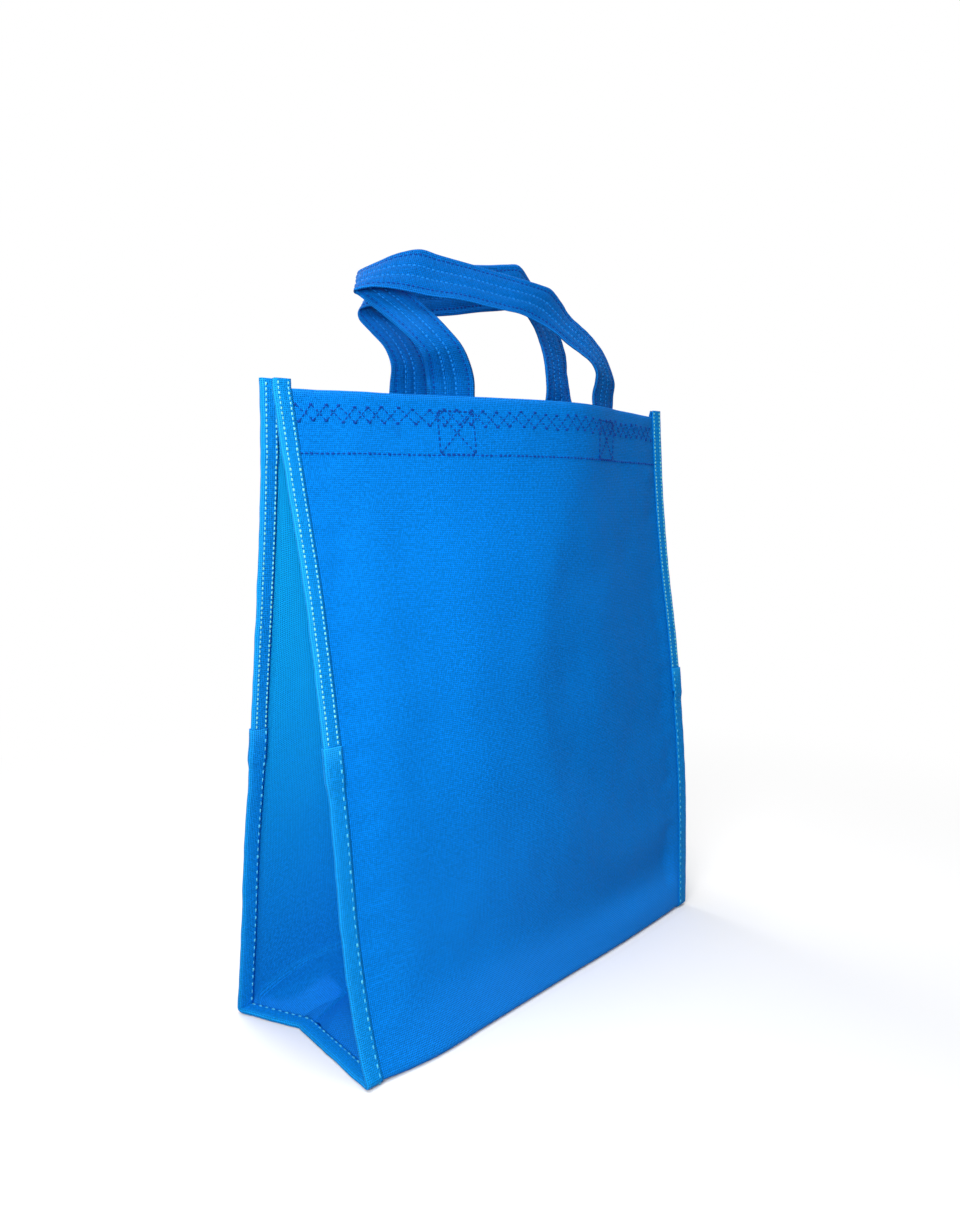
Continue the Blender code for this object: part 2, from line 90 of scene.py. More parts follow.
# Where each panel stands, as (height, y) along its two side seams
FRONT_LEFT_SEAM = (
    (0.0, -0.0605), (0.015, -0.0550), (0.033, -0.0500), (0.063, -0.0440), (0.13, -0.0365),
    (0.20, -0.0270), (0.25, -0.0185), (0.30, -0.0075), (0.35, 0.0025),
)
FRONT_RIGHT_SEAM = (
    (0.0, -0.0560), (0.10, -0.0535), (0.15, -0.0495), (0.20, -0.0440),
    (0.25, -0.0370), (0.30, -0.0320), (0.35, -0.0290),
)
BACK_LEFT_SEAM = (
    (0.0, 0.0550), (0.05, 0.0485), (0.10, 0.0430), (0.15, 0.0350),
    (0.20, 0.0285), (0.25, 0.0220), (0.30, 0.0165), (0.35, 0.0145),
)
BACK_RIGHT_SEAM = (
    (0.0, 0.0535), (0.05, 0.0500), (0.10, 0.0430), (0.20, 0.0210),
    (0.30, -0.0050), (0.35, -0.0145),
)
FRONT_FOOT_BULGE = (
    (-0.144, 0.0), (-0.107, -0.0050), (-0.068, -0.0044), (0.0, -0.0036),
    (0.065, -0.0032), (0.144, 0.0),
)
FRONT_TOP_BULGE = (
    (-0.144, 0.0), (-0.100, -0.0040), (-0.054, -0.0175), (0.0, -0.0268),
    (0.045, -0.0285), (0.100, -0.0130), (0.144, 0.0),
)
BACK_TOP_BULGE = (
    (-0.144, 0.0), (-0.057, 0.0012), (0.0, -0.0020), (0.057, -0.0060), (0.144, 0.0),
)
FRONT_BULGE_POWER = 1.2
BACK_BELLY = 0.006
FRONT_TOP_EDGE = ((-0.144, 0.3480), (0.0, 0.3501), (0.144, 0.3505))
BACK_TOP_EDGE = ((-0.144, 0.3490), (0.0, 0.3487), (0.144, 0.3455))

# The side panels' seams at the base, as in the frame
FOOT_INSET = 0.0125
FOOT_INSET_Y = 0.014
INSET_FRONT, INSET_BACK = -0.058, 0.054
INSET_FADE = 0.085
SEAM_BEND = 0.1425

# The side panels' folds by height, and their ledge by share front to back, finer than in the frame
FOLD_DEPTH = (
    (0.0, 0.0330), (0.035, 0.0350), (0.06, 0.0345), (0.10, 0.0340), (0.15, 0.0380),
    (0.20, 0.0430), (0.25, 0.0465), (0.30, 0.0490), (0.35, 0.0505),
)
FOLD_PLACE = ((0.0, 0.63), (0.05, 0.58), (0.12, 0.52), (0.35, 0.50))
FOLD_SHARPNESS = ((0.0, 1.0), (0.03, 1.15), (0.10, 1.35), (0.35, 1.40))
LEDGE = ((0.0, 0.026), (0.40, 0.018), (0.625, 0.008), (0.737, 0.020), (0.99, 0.003))
LEDGE_ROUND = 0.02
GUSSET_ARCH = 0.040
GUSSET_ARCH_POWER = 0.8
GUSSET_TOP = 0.001
GUSSET_TOP_DIP = 0.007
GUSSET_HEADROOM = 0.002
GUSSET_SINK = 0.0180  # share by which the top of a side panel is drawn down to the mouth
GUSSET_SPAN = 0.11  # how far apart its seams are taken to be, for its waves
GUSSET_WAVE, GUSSET_WAVE_LENGTH = 0.0007, 0.050
GUSSET_RIPPLE, GUSSET_RIPPLE_LENGTH = 0.0002, 0.018

# Binding tape, as in the frame
TAPE_LEG_OUTER = 0.1430
TAPE_LEG_INNER = 0.1436
TAPE_STAND = 0.0045
TAPE_OVERLAP = 0.016
TAPE_LAP_STEPS = (0.001, 0.007)
LOWER_TAPE_STARTS = {"left": 0.182, "right": 0.178}

# The tape's cut width and finer shape, which the frame leaves out
TAPE_TURN = 0.0008  # how far its folded edge rounds over
TAPE_TURN_ANGLE, TAPE_TURN_FULL = 0.35 * math.pi, 0.42 * math.pi
TAPE_BULGE, TAPE_LOOSE = 0.00012, 0.00014  # its legs stand out evenly and, in places, loosely
TAPE_PULL, TAPE_PULL_REACH = 0.00018, 0.16  # its stitches draw it in
TAPE_PALE_END_REACH = 0.0065  # how far its cut ends are pale

# Handles, as in the frame: the place of the strap's middle and its direction across
FRONT_FEET = (-0.0525, 0.0670)
BACK_FEET = (-0.0570, 0.0570)
HANDLE_SEWN, SEWN_TOP = 0.0335, 0.0015
FRONT_HANDLE = (
    ((-0.0520, -0.0225, 0.3580), (0.94, -0.34, 0.06)),
    ((-0.0580, -0.0260, 0.3660), (0.95, -0.22, 0.18)),
    ((-0.0645, -0.0285, 0.3730), (0.96, -0.06, 0.27)),
    ((-0.0700, -0.0250, 0.3805), (0.95, -0.01, 0.31)),
    ((-0.0735, -0.0150, 0.3905), (0.93, -0.01, 0.36)),
    ((-0.0790, -0.0040, 0.4010), (0.91, 0.02, 0.42)),
    ((-0.0845, 0.0025, 0.4070), (0.90, 0.10, 0.42)),
    ((-0.0920, 0.0090, 0.4100), (0.62, 0.60, 0.50)),
    ((-0.0850, 0.0020, 0.4140), (0.60, 0.50, 0.62)),
    ((-0.0760, -0.0050, 0.4165), (0.53, 0.32, 0.78)),
    ((-0.0670, -0.0110, 0.4170), (0.46, 0.18, 0.87)),
    ((-0.0575, -0.0150, 0.4155), (0.48, 0.20, 0.85)),
    ((-0.0380, -0.0230, 0.4135), (0.58, 0.23, 0.78)),
    ((-0.0185, -0.0305, 0.4105), (0.67, 0.14, 0.73)),
    ((-0.0086, -0.0348, 0.4089), (0.72, 0.08, 0.69)),
    ((0.0003, -0.0372, 0.4079), (0.73, 0.08, 0.67)),
    ((0.0096, -0.0386, 0.4060), (0.71, 0.10, 0.70)),
    ((0.0180, -0.0394, 0.4019), (0.78, 0.19, 0.60)),
    ((0.0266, -0.0407, 0.3963), (0.82, 0.29, 0.49)),
    ((0.0363, -0.0431, 0.3905), (0.84, 0.28, 0.47)),
    ((0.0460, -0.0456, 0.3845), (0.85, 0.33, 0.41)),
    ((0.0535, -0.0472, 0.3783), (0.90, 0.34, 0.28)),
    ((0.0592, -0.0475, 0.3708), (0.94, 0.30, 0.15)),
    ((0.0632, -0.0455, 0.3645), (0.98, 0.20, 0.10)),
    ((0.0658, -0.0422, 0.3585), (0.98, 0.18, 0.05)),
)
BACK_HANDLE = (
    ((-0.0575, 0.0045, 0.3580), (0.99, -0.06, 0.06)),
    ((-0.0580, 0.0045, 0.3680), (0.98, 0.05, 0.14)),
    ((-0.0600, 0.0085, 0.3790), (0.96, 0.14, 0.22)),
    ((-0.0650, 0.0165, 0.3910), (0.93, 0.15, 0.33)),
    ((-0.0690, 0.0220, 0.3985), (0.90, 0.20, 0.38)),
    ((-0.0710, 0.0270, 0.4060), (0.70, 0.50, 0.50)),
    ((-0.0640, 0.0260, 0.4120), (0.45, 0.55, 0.70)),
    ((-0.0540, 0.0220, 0.4130), (0.20, 0.45, 0.87)),
    ((-0.0430, 0.0170, 0.4125), (0.10, 0.40, 0.91)),
    ((-0.0240, 0.0090, 0.4155), (0.00, 0.27, 0.96)),
    ((-0.0055, 0.0040, 0.4195), (-0.04, 0.25, 0.97)),
    ((0.0132, 0.0013, 0.4226), (0.04, 0.25, 0.97)),
    ((0.0223, -0.0008, 0.4242), (0.11, 0.21, 0.97)),
    ((0.0307, -0.0024, 0.4248), (0.18, 0.15, 0.97)),
    ((0.0378, -0.0034, 0.4201), (0.46, 0.30, 0.84)),
    ((0.0438, -0.0051, 0.4127), (0.70, 0.33, 0.63)),
    ((0.0494, -0.0063, 0.4051), (0.83, 0.31, 0.47)),
    ((0.0532, -0.0087, 0.3962), (0.91, 0.23, 0.35)),
    ((0.0555, -0.0114, 0.3847), (0.96, 0.18, 0.21)),
    ((0.0555, -0.0132, 0.3712), (0.97, 0.19, 0.14)),
    ((0.0560, -0.0142, 0.3590), (0.98, 0.12, 0.05)),
)

# The faces of a strap: rows of stitches by share of its width, their grooves, and its outer ply
STRAP_ROWS = (-0.36, -0.13, 0.10, 0.36)
STRAP_GROOVE, STRAP_GROOVE_REACH = 0.00060, 0.040
STRAP_PLY = 0.00022
STRAP_WAVE, STRAP_WAVE_LENGTH = 0.00010, 0.012
STRAP_SAG, STRAP_SAG_LENGTH = 0.0004, 0.045
STRAP_FLAT, STRAP_EDGE = 0.475, 0.025  # shares of its width: flat, and rounded at each edge

# Distances along the body strip, from the front's top edge, over the base, to the back's
FRONT_END = BAG_HEIGHT - FOLD_RADIUS
BASE_START = FRONT_END + FOLD_RADIUS * math.pi / 2
BASE_END = BASE_START + BASE_DEPTH - 2 * FOLD_RADIUS
BACK_START = BASE_END + FOLD_RADIUS * math.pi / 2
STRIP_LENGTH = BACK_START + FRONT_END
OUTER_EDGE = BAG_WIDTH / 2 + SEAM_ALLOWANCE
FOOT_APEX = (BASE_START + BASE_END) / 2 + FOOT_INSET_Y
HEM_PLY_END, HEM_STEP_END = HEM_DEPTH + HEM_STEP[0], HEM_DEPTH + HEM_STEP[1]

# Seams: where the rows of stitches run
STITCH = 0.0035
STITCH_ROW = 0.1447  # of the binding, across the bag
RIM_ROW = 0.1504  # a second row, on the upper tapes
HEM_ROW = 0.0335  # below the mouth
ZIGZAG_ROW = 0.0125
ZIGZAG_REACH = 0.0042
ZIGZAG_PERIOD = 0.0165
ZIGZAG_DRIFT_ACROSS, ZIGZAG_DRIFT_DOWN = 0.0008, 0.0005
BOX_HALF, BOX_TOP, BOX_FOOT = 0.0105, 0.0090, HEM_ROW - 0.0006
SLOPE_STEP = 0.0001
THREAD_STAND = 0.0001  # thread lies this far off the cloth
THREAD_HEIGHT = 0.00022
PATH_STEP = 0.0008

# The stitches of each row: pitch, thread radius, share of the pitch that shows, and unevenness
HEM_STITCH = {"pitch": 0.0030, "radius": 0.00048, "uneven": 0.45}
ZIGZAG_STITCH = {"pitch": 0.0029, "radius": 0.00032}
TURN_STITCH = {"pitch": 0.0020, "radius": 0.00062, "share": 0.95}
BOX_STITCH = {"pitch": 0.0030}
UPPER_TAPE_STITCH = {"pitch": 0.0026, "radius": 0.00040, "uneven": 0.5}
LOWER_TAPE_STITCH = {"pitch": 0.0046, "radius": 0.00038, "share": 0.5, "uneven": 0.6}
STRAP_STITCH = {"pitch": 0.0028, "radius": 0.00046, "uneven": 0.4}

# One stitch: rings along it, how wide each is, and how far each stands out; its ends dip in
STITCH_SIDES = 6
STITCH_RINGS = (0.0, 0.14, 0.5, 0.86, 1.0)
STITCH_WIDTHS = (0.45, 1.0, 1.05, 1.0, 0.45)
STITCH_LIFTS = (-1.2, 0.35, 1.0, 0.35, -1.2)
STITCH_FLATNESS = 0.8

# Waves of the cloth and puckers along its rows of stitches, as heights and wavelengths
LONG_WAVE, LONG_WAVE_LENGTH = 0.00055, 0.085
SHORT_WAVE, SHORT_WAVE_LENGTH = 0.00016, 0.030
SEAM_PUCKER, SEAM_PUCKER_LENGTH = 0.00035, 0.013
HEM_PUCKER, HEM_PUCKER_LENGTH = 0.00018, 0.009
ZIGZAG_PUCKER, ZIGZAG_PUCKER_LENGTH = 0.00014, 0.008
HEM_DRAW = 0.0002
PUCKER_REACH = 0.006
WAVES_ACROSS = (0.1445, 0.128)  # the waves grow from nothing at the first to full at the second
WAVES_ABOVE_BASE = (0.004, 0.030)
SEAM_PUCKERS_ACROSS = (0.115, 0.140)

# Soft folds of the front, as (distance down, place across)
RIDGE_LINE = (
    (0.0, 0.062), (0.072, 0.017), (0.125, 0.0), (0.20, -0.009), (0.24, 0.004), (0.285, 0.030),
)
RIDGE_WIDTH, RIDGE_DEPTH, RIDGE_ROUND, RIDGE_RISE = 0.040, 0.0066, 0.34, 0.0080
RIDGE_CREST = 0.004  # rounds its crest
RIDGE_LEAST = 0.25  # its share near the mouth and the base
RIDGE_GROWS, RIDGE_FADES = (0.02, 0.13), (0.32, 0.25)
LEFT_FOLD = ((0.0, -0.106), (0.11, -0.111), (0.20, -0.116), (0.35, -0.118))
LEFT_FOLD_RISE, LEFT_FOLD_WIDTH, LEFT_FOLD_FADES = 0.0016, 0.016, (0.34, 0.28)
MIDDLE_FOLD = ((0.0, -0.050), (0.14, -0.056), (0.21, -0.062), (0.35, -0.060))
MIDDLE_FOLD_RISE, MIDDLE_FOLD_WIDTH = 0.0009, 0.017
MIDDLE_FOLD_GROWS, MIDDLE_FOLD_FADES = (0.05, 0.14), (0.28, 0.20)
FOOT_HOLLOW_HEIGHT, FOOT_HOLLOW_REACH, FOOT_HOLLOW_DEPTH = 0.034, 0.022, 0.0040
FOOT_HOLLOW_ACROSS = (-0.09, 0.07)

# Where the colour is made paler: along the mouth and base folds, as painted light on the lower front and
# back and on the side panels' feet, and as a painted highlight on the lower tapes' rims; how far it reaches,
# and how strong it is
MOUTH_PALE_REACH, BASE_PALE_REACH = 0.0025, 0.004
FRONT_PAINTED_LIGHT, FRONT_PAINTED_LIGHT_GROWS = 0.50, (0.20, 0.30)
FOOT_PAINTED_LIGHT, FOOT_PAINTED_LIGHT_GROWS = 0.9, (0.044, 0.016)
PAINTED_LIGHT_ACROSS = (-0.17, -0.02)
LEDGE_PAINTED_LIGHT, GUSSET_FOOT_PAINTED_LIGHT = 0.60, 0.45
LOWER_TAPE_RIM_HIGHLIGHT = 0.35

# How fine the meshes are: steps between their rows, and points across or along
HEM_STEP_LENGTH, PANEL_STEP_LENGTH, BASE_STEP_LENGTH = 0.0035, 0.0026, 0.006
BODY_COLUMNS = 118
GUSSET_STEP_LENGTH, GUSSET_COLUMNS = 0.0030, 58
LEG_POINTS = 7
STRAP_STEP_LENGTH, STRAP_COLUMNS = 0.0014, 25

# Cloth, tape and thread colours, as linear light
BODY_BLUE = (0.002, 0.192, 0.690)
# Side panels: the body's blue painted darker as shade, with a lighter blue painted towards their top as
# light
GUSSET_PAINTED_SHADE_BLUE = (0.003, 0.162, 0.570)
GUSSET_TOP_PAINTED_LIGHT_BLUE = (0.005, 0.420, 0.860)
# Tape: the body's blue made a little lighter, partly for its thinner ply and partly as painted sheen
TAPE_BLUE = (0.004, 0.245, 0.720)
STRAP_BLUE = (0.002, 0.135, 0.530)
# The one blue thread in lit and shaded copies: painted dark as shade on the cloth's rows and the straps'
# outer rows, painted pale as light on the upper tapes, and between these on the lower tapes and the straps'
# inner rows
THREADS = (
    ("thread_look", (0.001, 0.055, 0.330)),
    ("pale_thread_look", (0.220, 0.720, 0.680)),
    ("soft_thread_look", (0.090, 0.560, 0.800)),
    ("mid_thread_look", (0.006, 0.240, 0.760)),
)

# The cloth's look: its embossed pits, its cloudy grain and broad patches, and its soft gloss
EMBOSS_PITCH = 0.0021
CLOUD_SCALE, FIBRE_SCALE, PATCH_SCALE = 620.0, 1900.0, 28.0
CLOUD_HEIGHT, FIBRE_HEIGHT = 0.00003, 0.00004
GRAIN_RANGE = (0.86, 1.38)  # how dark and light the grain makes the colour
PATCH_LIGHT, PIT_DARK = 1.22, 0.50
SHEEN, SHEEN_TINT = 0.05, (0.01, 0.45, 1.0)
CLOTH_GLOSS, GLOSS_TINT = 0.04, (0.03, 0.60, 1.0)
TWIST_SCALE = 3000.0

# The floor: it fades to white between these distances from the middle of the bag's base
FLOOR_FADES = (0.12, 0.75)
FLOOR_UNSEEN, FLOOR_SEEN = (0.35, 0.35, 0.35), (0.92, 0.92, 0.92)

# Lamps: degrees left of the front, degrees up, distance and size, power in watts
LAMPS = (
    ("key", 57, 17, 0.68, 0.36, 4.2),
    ("top", 20, 84, 1.8, 1.2, 22.0),
    ("right", -90, 35, 1.8, 1.2, 2.0),
    ("back", 180, 40, 1.8, 1.2, 16.0),
)
WORLD_LIGHT = 0.18
BAG_MIDDLE = Vector((0.0, 0.0, 0.2))

# The camera stands where the photograph was taken from
CAMERA_PLACE = Vector((-0.441273, -0.403795, 0.284251))
CAMERA_YAW = 0.746550
CAMERA_PITCH = -0.0994723
CAMERA_ROLL = -0.00696003
LONG_SIDE_PIXELS = 1217
FOCAL_PIXELS = 957.54
SENSOR = 36.0


def through(points, x):
    """A smooth curve through (x, value) points, straight beyond its two ends."""
    at = np.array([p[0] for p in points], float)
    value = np.array([p[1] for p in points], float)
    x = np.asarray(x, float)
    slope = np.gradient(value, at, axis=0)
    i = np.clip(np.searchsorted(at, x) - 1, 0, len(at) - 2)
    step = at[i + 1] - at[i]
    t = np.clip((x - at[i]) / step, 0.0, 1.0)
    past = x - np.clip(x, at[0], at[-1])
    if value.ndim > 1:
        t, step, past = t[..., None], step[..., None], past[..., None]
    low, high = value[i], value[i + 1]
    curve = (
        (2 * t**3 - 3 * t**2 + 1) * low
        + (t**3 - 2 * t**2 + t) * step * slope[i]
        + (3 * t**2 - 2 * t**3) * high
        + (t**3 - t**2) * step * slope[i + 1]
    )
    beyond = np.where(past > 0, slope[-1], slope[0])
    return curve + past * beyond


def smooth(low, high, x):
    """0 below low, 1 above high, with a smooth rise between."""
    t = np.clip((x - low) / (high - low), 0.0, 1.0)
    return t * t * (3 - 2 * t)


def ripples(a, b, wavelength, waves=7, turn=0.0):
    """Uneven soft waves over a plane, from about -1 to 1."""
    total = 0.0
    for k in range(waves):
        angle = turn + 2.4 * k
        number = 2 * math.pi / (wavelength * (1 + 0.45 * math.sin(1.7 * k + turn)))
        total = total + np.sin(number * (a * math.cos(angle) + b * math.sin(angle)) + 1.3 * k * k)
    return total / math.sqrt(waves)


def between(left, right, u, z):
    """A panel's y at u across, on the straight line between its seams at height z."""
    share = u / BAG_WIDTH + 0.5
    return (1 - share) * through(left, z) + share * through(right, z)


def front_y(u, z):
    """Outer face of the front panel at u across and height z."""
    inner = np.clip(u, -BAG_WIDTH / 2, BAG_WIDTH / 2)
    ramp = np.clip(z / BAG_HEIGHT, 0.0, 1.0) ** FRONT_BULGE_POWER
    bulge = (1 - ramp) * through(FRONT_FOOT_BULGE, inner) + ramp * through(FRONT_TOP_BULGE, inner)
    return between(FRONT_LEFT_SEAM, FRONT_RIGHT_SEAM, u, z) + bulge


def back_y(u, z):
    """Outer face of the back panel at u across and height z."""
    inner = np.clip(u, -BAG_WIDTH / 2, BAG_WIDTH / 2)
    rise = np.clip(z / BAG_HEIGHT, 0.0, 1.0)
    belly = BACK_BELLY * np.sin(math.pi * rise) * (1 - (2 * inner / BAG_WIDTH) ** 2)
    return between(BACK_LEFT_SEAM, BACK_RIGHT_SEAM, u, z) + rise * through(BACK_TOP_BULGE, inner) + belly


def foot_inset(y):
    """How far a side seam of the base is drawn in at y."""
    reach = np.where(y < FOOT_INSET_Y, FOOT_INSET_Y - INSET_FRONT, INSET_BACK - FOOT_INSET_Y)
    return FOOT_INSET * np.clip(1 - np.abs(y - FOOT_INSET_Y) / reach, 0.0, 1.0)


def strip(u, s):
    """Point on the outer face of the body strip: u across, s down the front and up the back."""
    u, s = np.broadcast_arrays(np.asarray(u, float), np.asarray(s, float))
    front_top = through(FRONT_TOP_EDGE, u)
    back_top = through(BACK_TOP_EDGE, u)
    front_foot = front_y(u, FOLD_RADIUS + 0 * u)
    back_foot = back_y(u, FOLD_RADIUS + 0 * u)
    z_front = front_top + (FOLD_RADIUS - front_top) * s / FRONT_END
    z_back = FOLD_RADIUS + (back_top - FOLD_RADIUS) * (s - BACK_START) / FRONT_END
    angle_front = (s - FRONT_END) / FOLD_RADIUS
    angle_back = (s - BASE_END) / FOLD_RADIUS
    along = (s - BASE_START) / (BASE_END - BASE_START)
    base_y = (1 - along) * (front_foot + FOLD_RADIUS) + along * (back_foot - FOLD_RADIUS)
    zone = [s < FRONT_END, s < BASE_START, s < BASE_END, s < BACK_START]
    y = np.select(
        zone,
        [
            front_y(u, z_front),
            front_foot + FOLD_RADIUS * (1 - np.cos(angle_front)),
            base_y,
            back_foot - FOLD_RADIUS * (1 - np.sin(angle_back)),
        ],
        back_y(u, z_back),
    )
    front_fold = FOLD_RADIUS * (1 - np.sin(angle_front))
    back_fold = FOLD_RADIUS * (1 - np.cos(angle_back))
    z = np.select(zone, [z_front, front_fold, 0 * s, back_fold], z_back)
    low = np.clip(1 - z / FOLD_RADIUS, 0.0, 1.0)
    drawn_in = foot_inset(y) * smooth(INSET_FADE, BAG_WIDTH / 2, np.abs(u)) * low
    x = u - np.sign(u) * drawn_in
    z = z + BASE_EDGE_RISE * smooth(RISE_FROM, RISE_TO, np.abs(u)) * low
    return np.stack([x, y, z], -1)


def from_mouth(s):
    """Distance down from the nearer top edge."""
    return np.minimum(s, STRIP_LENGTH - s)


def hump(distance, reach):
    """1 at no distance, falling softly to almost nothing at twice the reach."""
    return np.exp(-((distance / reach) ** 2))


def front_folds(u, s):
    """The soft folds of the front: a ridge by its middle, low ones left of it, a hollow at its foot."""
    off = u - through(RIDGE_LINE, s)
    past = off / RIDGE_WIDTH
    past = (past + np.sqrt(past**2 + RIDGE_ROUND**2)) / 2
    lower = smooth(*RIDGE_GROWS, s) * smooth(*RIDGE_FADES, s)
    tent = 1 - np.sqrt((off / (BAG_WIDTH / 2)) ** 2 + RIDGE_CREST)
    ridge = RIDGE_RISE * np.clip(tent, 0.0, 1.0) - RIDGE_DEPTH * past * np.exp(1 - past)
    ridge = (RIDGE_LEAST + (1 - RIDGE_LEAST) * lower) * ridge
    left = LEFT_FOLD_RISE * hump(u - through(LEFT_FOLD, s), LEFT_FOLD_WIDTH) * smooth(*LEFT_FOLD_FADES, s)
    middle = MIDDLE_FOLD_RISE * hump(u - through(MIDDLE_FOLD, s), MIDDLE_FOLD_WIDTH)
    middle = middle * smooth(*MIDDLE_FOLD_GROWS, s) * smooth(*MIDDLE_FOLD_FADES, s)
    hollow = hump(BAG_HEIGHT - s - FOOT_HOLLOW_HEIGHT, FOOT_HOLLOW_REACH)
    hollow = -FOOT_HOLLOW_DEPTH * hollow * smooth(*FOOT_HOLLOW_ACROSS, u)
    return np.where(s < FRONT_END, ridge + left + middle + hollow, 0.0)


def relief(u, s):
    """How far the cloth stands out of its plain shape, in waves and in puckers along its seams."""
    down = from_mouth(s)
    above = BAG_HEIGHT - down
    wall = smooth(*WAVES_ABOVE_BASE, above)
    edge = smooth(*WAVES_ACROSS, np.abs(u))
    waves = LONG_WAVE * ripples(u, s, LONG_WAVE_LENGTH, turn=0.4)
    waves = waves + SHORT_WAVE * ripples(u, s, SHORT_WAVE_LENGTH, turn=1.1) + front_folds(u, s)
    near_seam = smooth(*SEAM_PUCKERS_ACROSS, np.abs(u))
    seam_pucker = SEAM_PUCKER * near_seam * ripples(u * 0.35, s, SEAM_PUCKER_LENGTH, turn=1.5)
    near_hem = hump(down - HEM_ROW, PUCKER_REACH)
    hem_pucker = HEM_PUCKER * near_hem * ripples(u, s * 0.3, HEM_PUCKER_LENGTH, turn=0.1)
    hem_pucker = hem_pucker - HEM_DRAW * near_hem**4
    near_band = hump(down - ZIGZAG_ROW, PUCKER_REACH)
    band_pucker = ZIGZAG_PUCKER * near_band * ripples(u, s, ZIGZAG_PUCKER_LENGTH, turn=2.0)
    return wall * (edge * waves + seam_pucker * edge + hem_pucker + band_pucker)


def inward(u, s):
    """Unit vector into the bag from the strip's outer face."""
    across = strip(u + SLOPE_STEP, s) - strip(u - SLOPE_STEP, s)
    along = strip(u, s + SLOPE_STEP) - strip(u, s - SLOPE_STEP)
    normal = np.cross(across, along)
    return normal / np.linalg.norm(normal, axis=-1, keepdims=True)


def layer(u, s, depth):
    """Point at a depth inside the strip's outer face; a negative depth is outside it."""
    u, s, depth = np.broadcast_arrays(np.asarray(u, float), np.asarray(s, float), np.asarray(depth, float))
    ahead, behind = np.clip(s, None, 0.0), np.clip(s - STRIP_LENGTH, 0.0, None)
    inner = np.clip(s, 0.0, STRIP_LENGTH)
    place = strip(u, inner) + inward(u, inner) * (depth - relief(u, inner))[..., None]
    place[..., 2] += -ahead + behind
    return place


def gusset_depth(s):
    """Depth of the gusset's seam allowance in the seam: it lies behind one ply, or two at a hem."""
    one_ply = 2 * CLOTH + GAP + SEAM_SPARE
    return np.interp(from_mouth(s), [HEM_PLY_END, HEM_STEP_END], [one_ply + CLOTH + GAP, one_ply])


def link(piece):
    """Puts an object in the scene."""
    bpy.context.scene.collection.objects.link(piece)
    return piece


def grid_faces(rows, columns, closed=False):
    """Quads of a grid of points; a closed grid joins its last column to its first."""
    r = np.arange(rows - 1)[:, None] * columns
    c = np.arange(columns if closed else columns - 1)[None, :]
    n = (c + 1) % columns
    return np.stack([r + c, r + n, r + columns + n, r + columns + c], -1).reshape(-1, 4)


def mesh_piece(name, points, faces, material, cloth=None, pale_and_painted_light=None):
    """A shown mesh; cloth gives each point its place on the flat cloth, for the material."""
    mesh = bpy.data.meshes.new(name)
    mesh.from_pydata(points.reshape(-1, 3).tolist(), [], [list(f) for f in faces])
    mesh.materials.append(material)
    mesh.shade_smooth()
    if cloth is not None:
        layer_of_uv = mesh.uv_layers.new(name="cloth")
        index = np.zeros(len(mesh.loops), int)
        mesh.loops.foreach_get("vertex_index", index)
        layer_of_uv.data.foreach_set("uv", cloth.reshape(-1, 2)[index].astype(np.float32).ravel())
    if pale_and_painted_light is not None:
        attribute = mesh.attributes.new("pale_and_painted_light", "FLOAT", "POINT")
        attribute.data.foreach_set("value", pale_and_painted_light.reshape(-1).astype(np.float32))
    return link(bpy.data.objects.new(name, mesh))


def sheet(name, points, thickness, offset, material, cloth, pale_and_painted_light=None, flip=False):
    """A sheet of cloth from a grid of points, with its thickness."""
    rows, columns = points.shape[:2]
    faces = grid_faces(rows, columns)
    if flip:
        faces = faces[:, ::-1]
    piece = mesh_piece(name, points, faces, material, cloth, pale_and_painted_light)
    solid = piece.modifiers.new("Thickness", "SOLIDIFY")
    solid.thickness = thickness
    solid.offset = offset
    return piece


def path_length(places):
    """Distance along a path of points, from its first point to each."""
    steps = np.linalg.norm(np.diff(places, axis=0), axis=1)
    return np.concatenate([[0.0], np.cumsum(steps)])


def spread(low, high, step):
    """Evenly spaced values about one step apart."""
    return np.linspace(low, high, max(2, int(round((high - low) / step)) + 1))


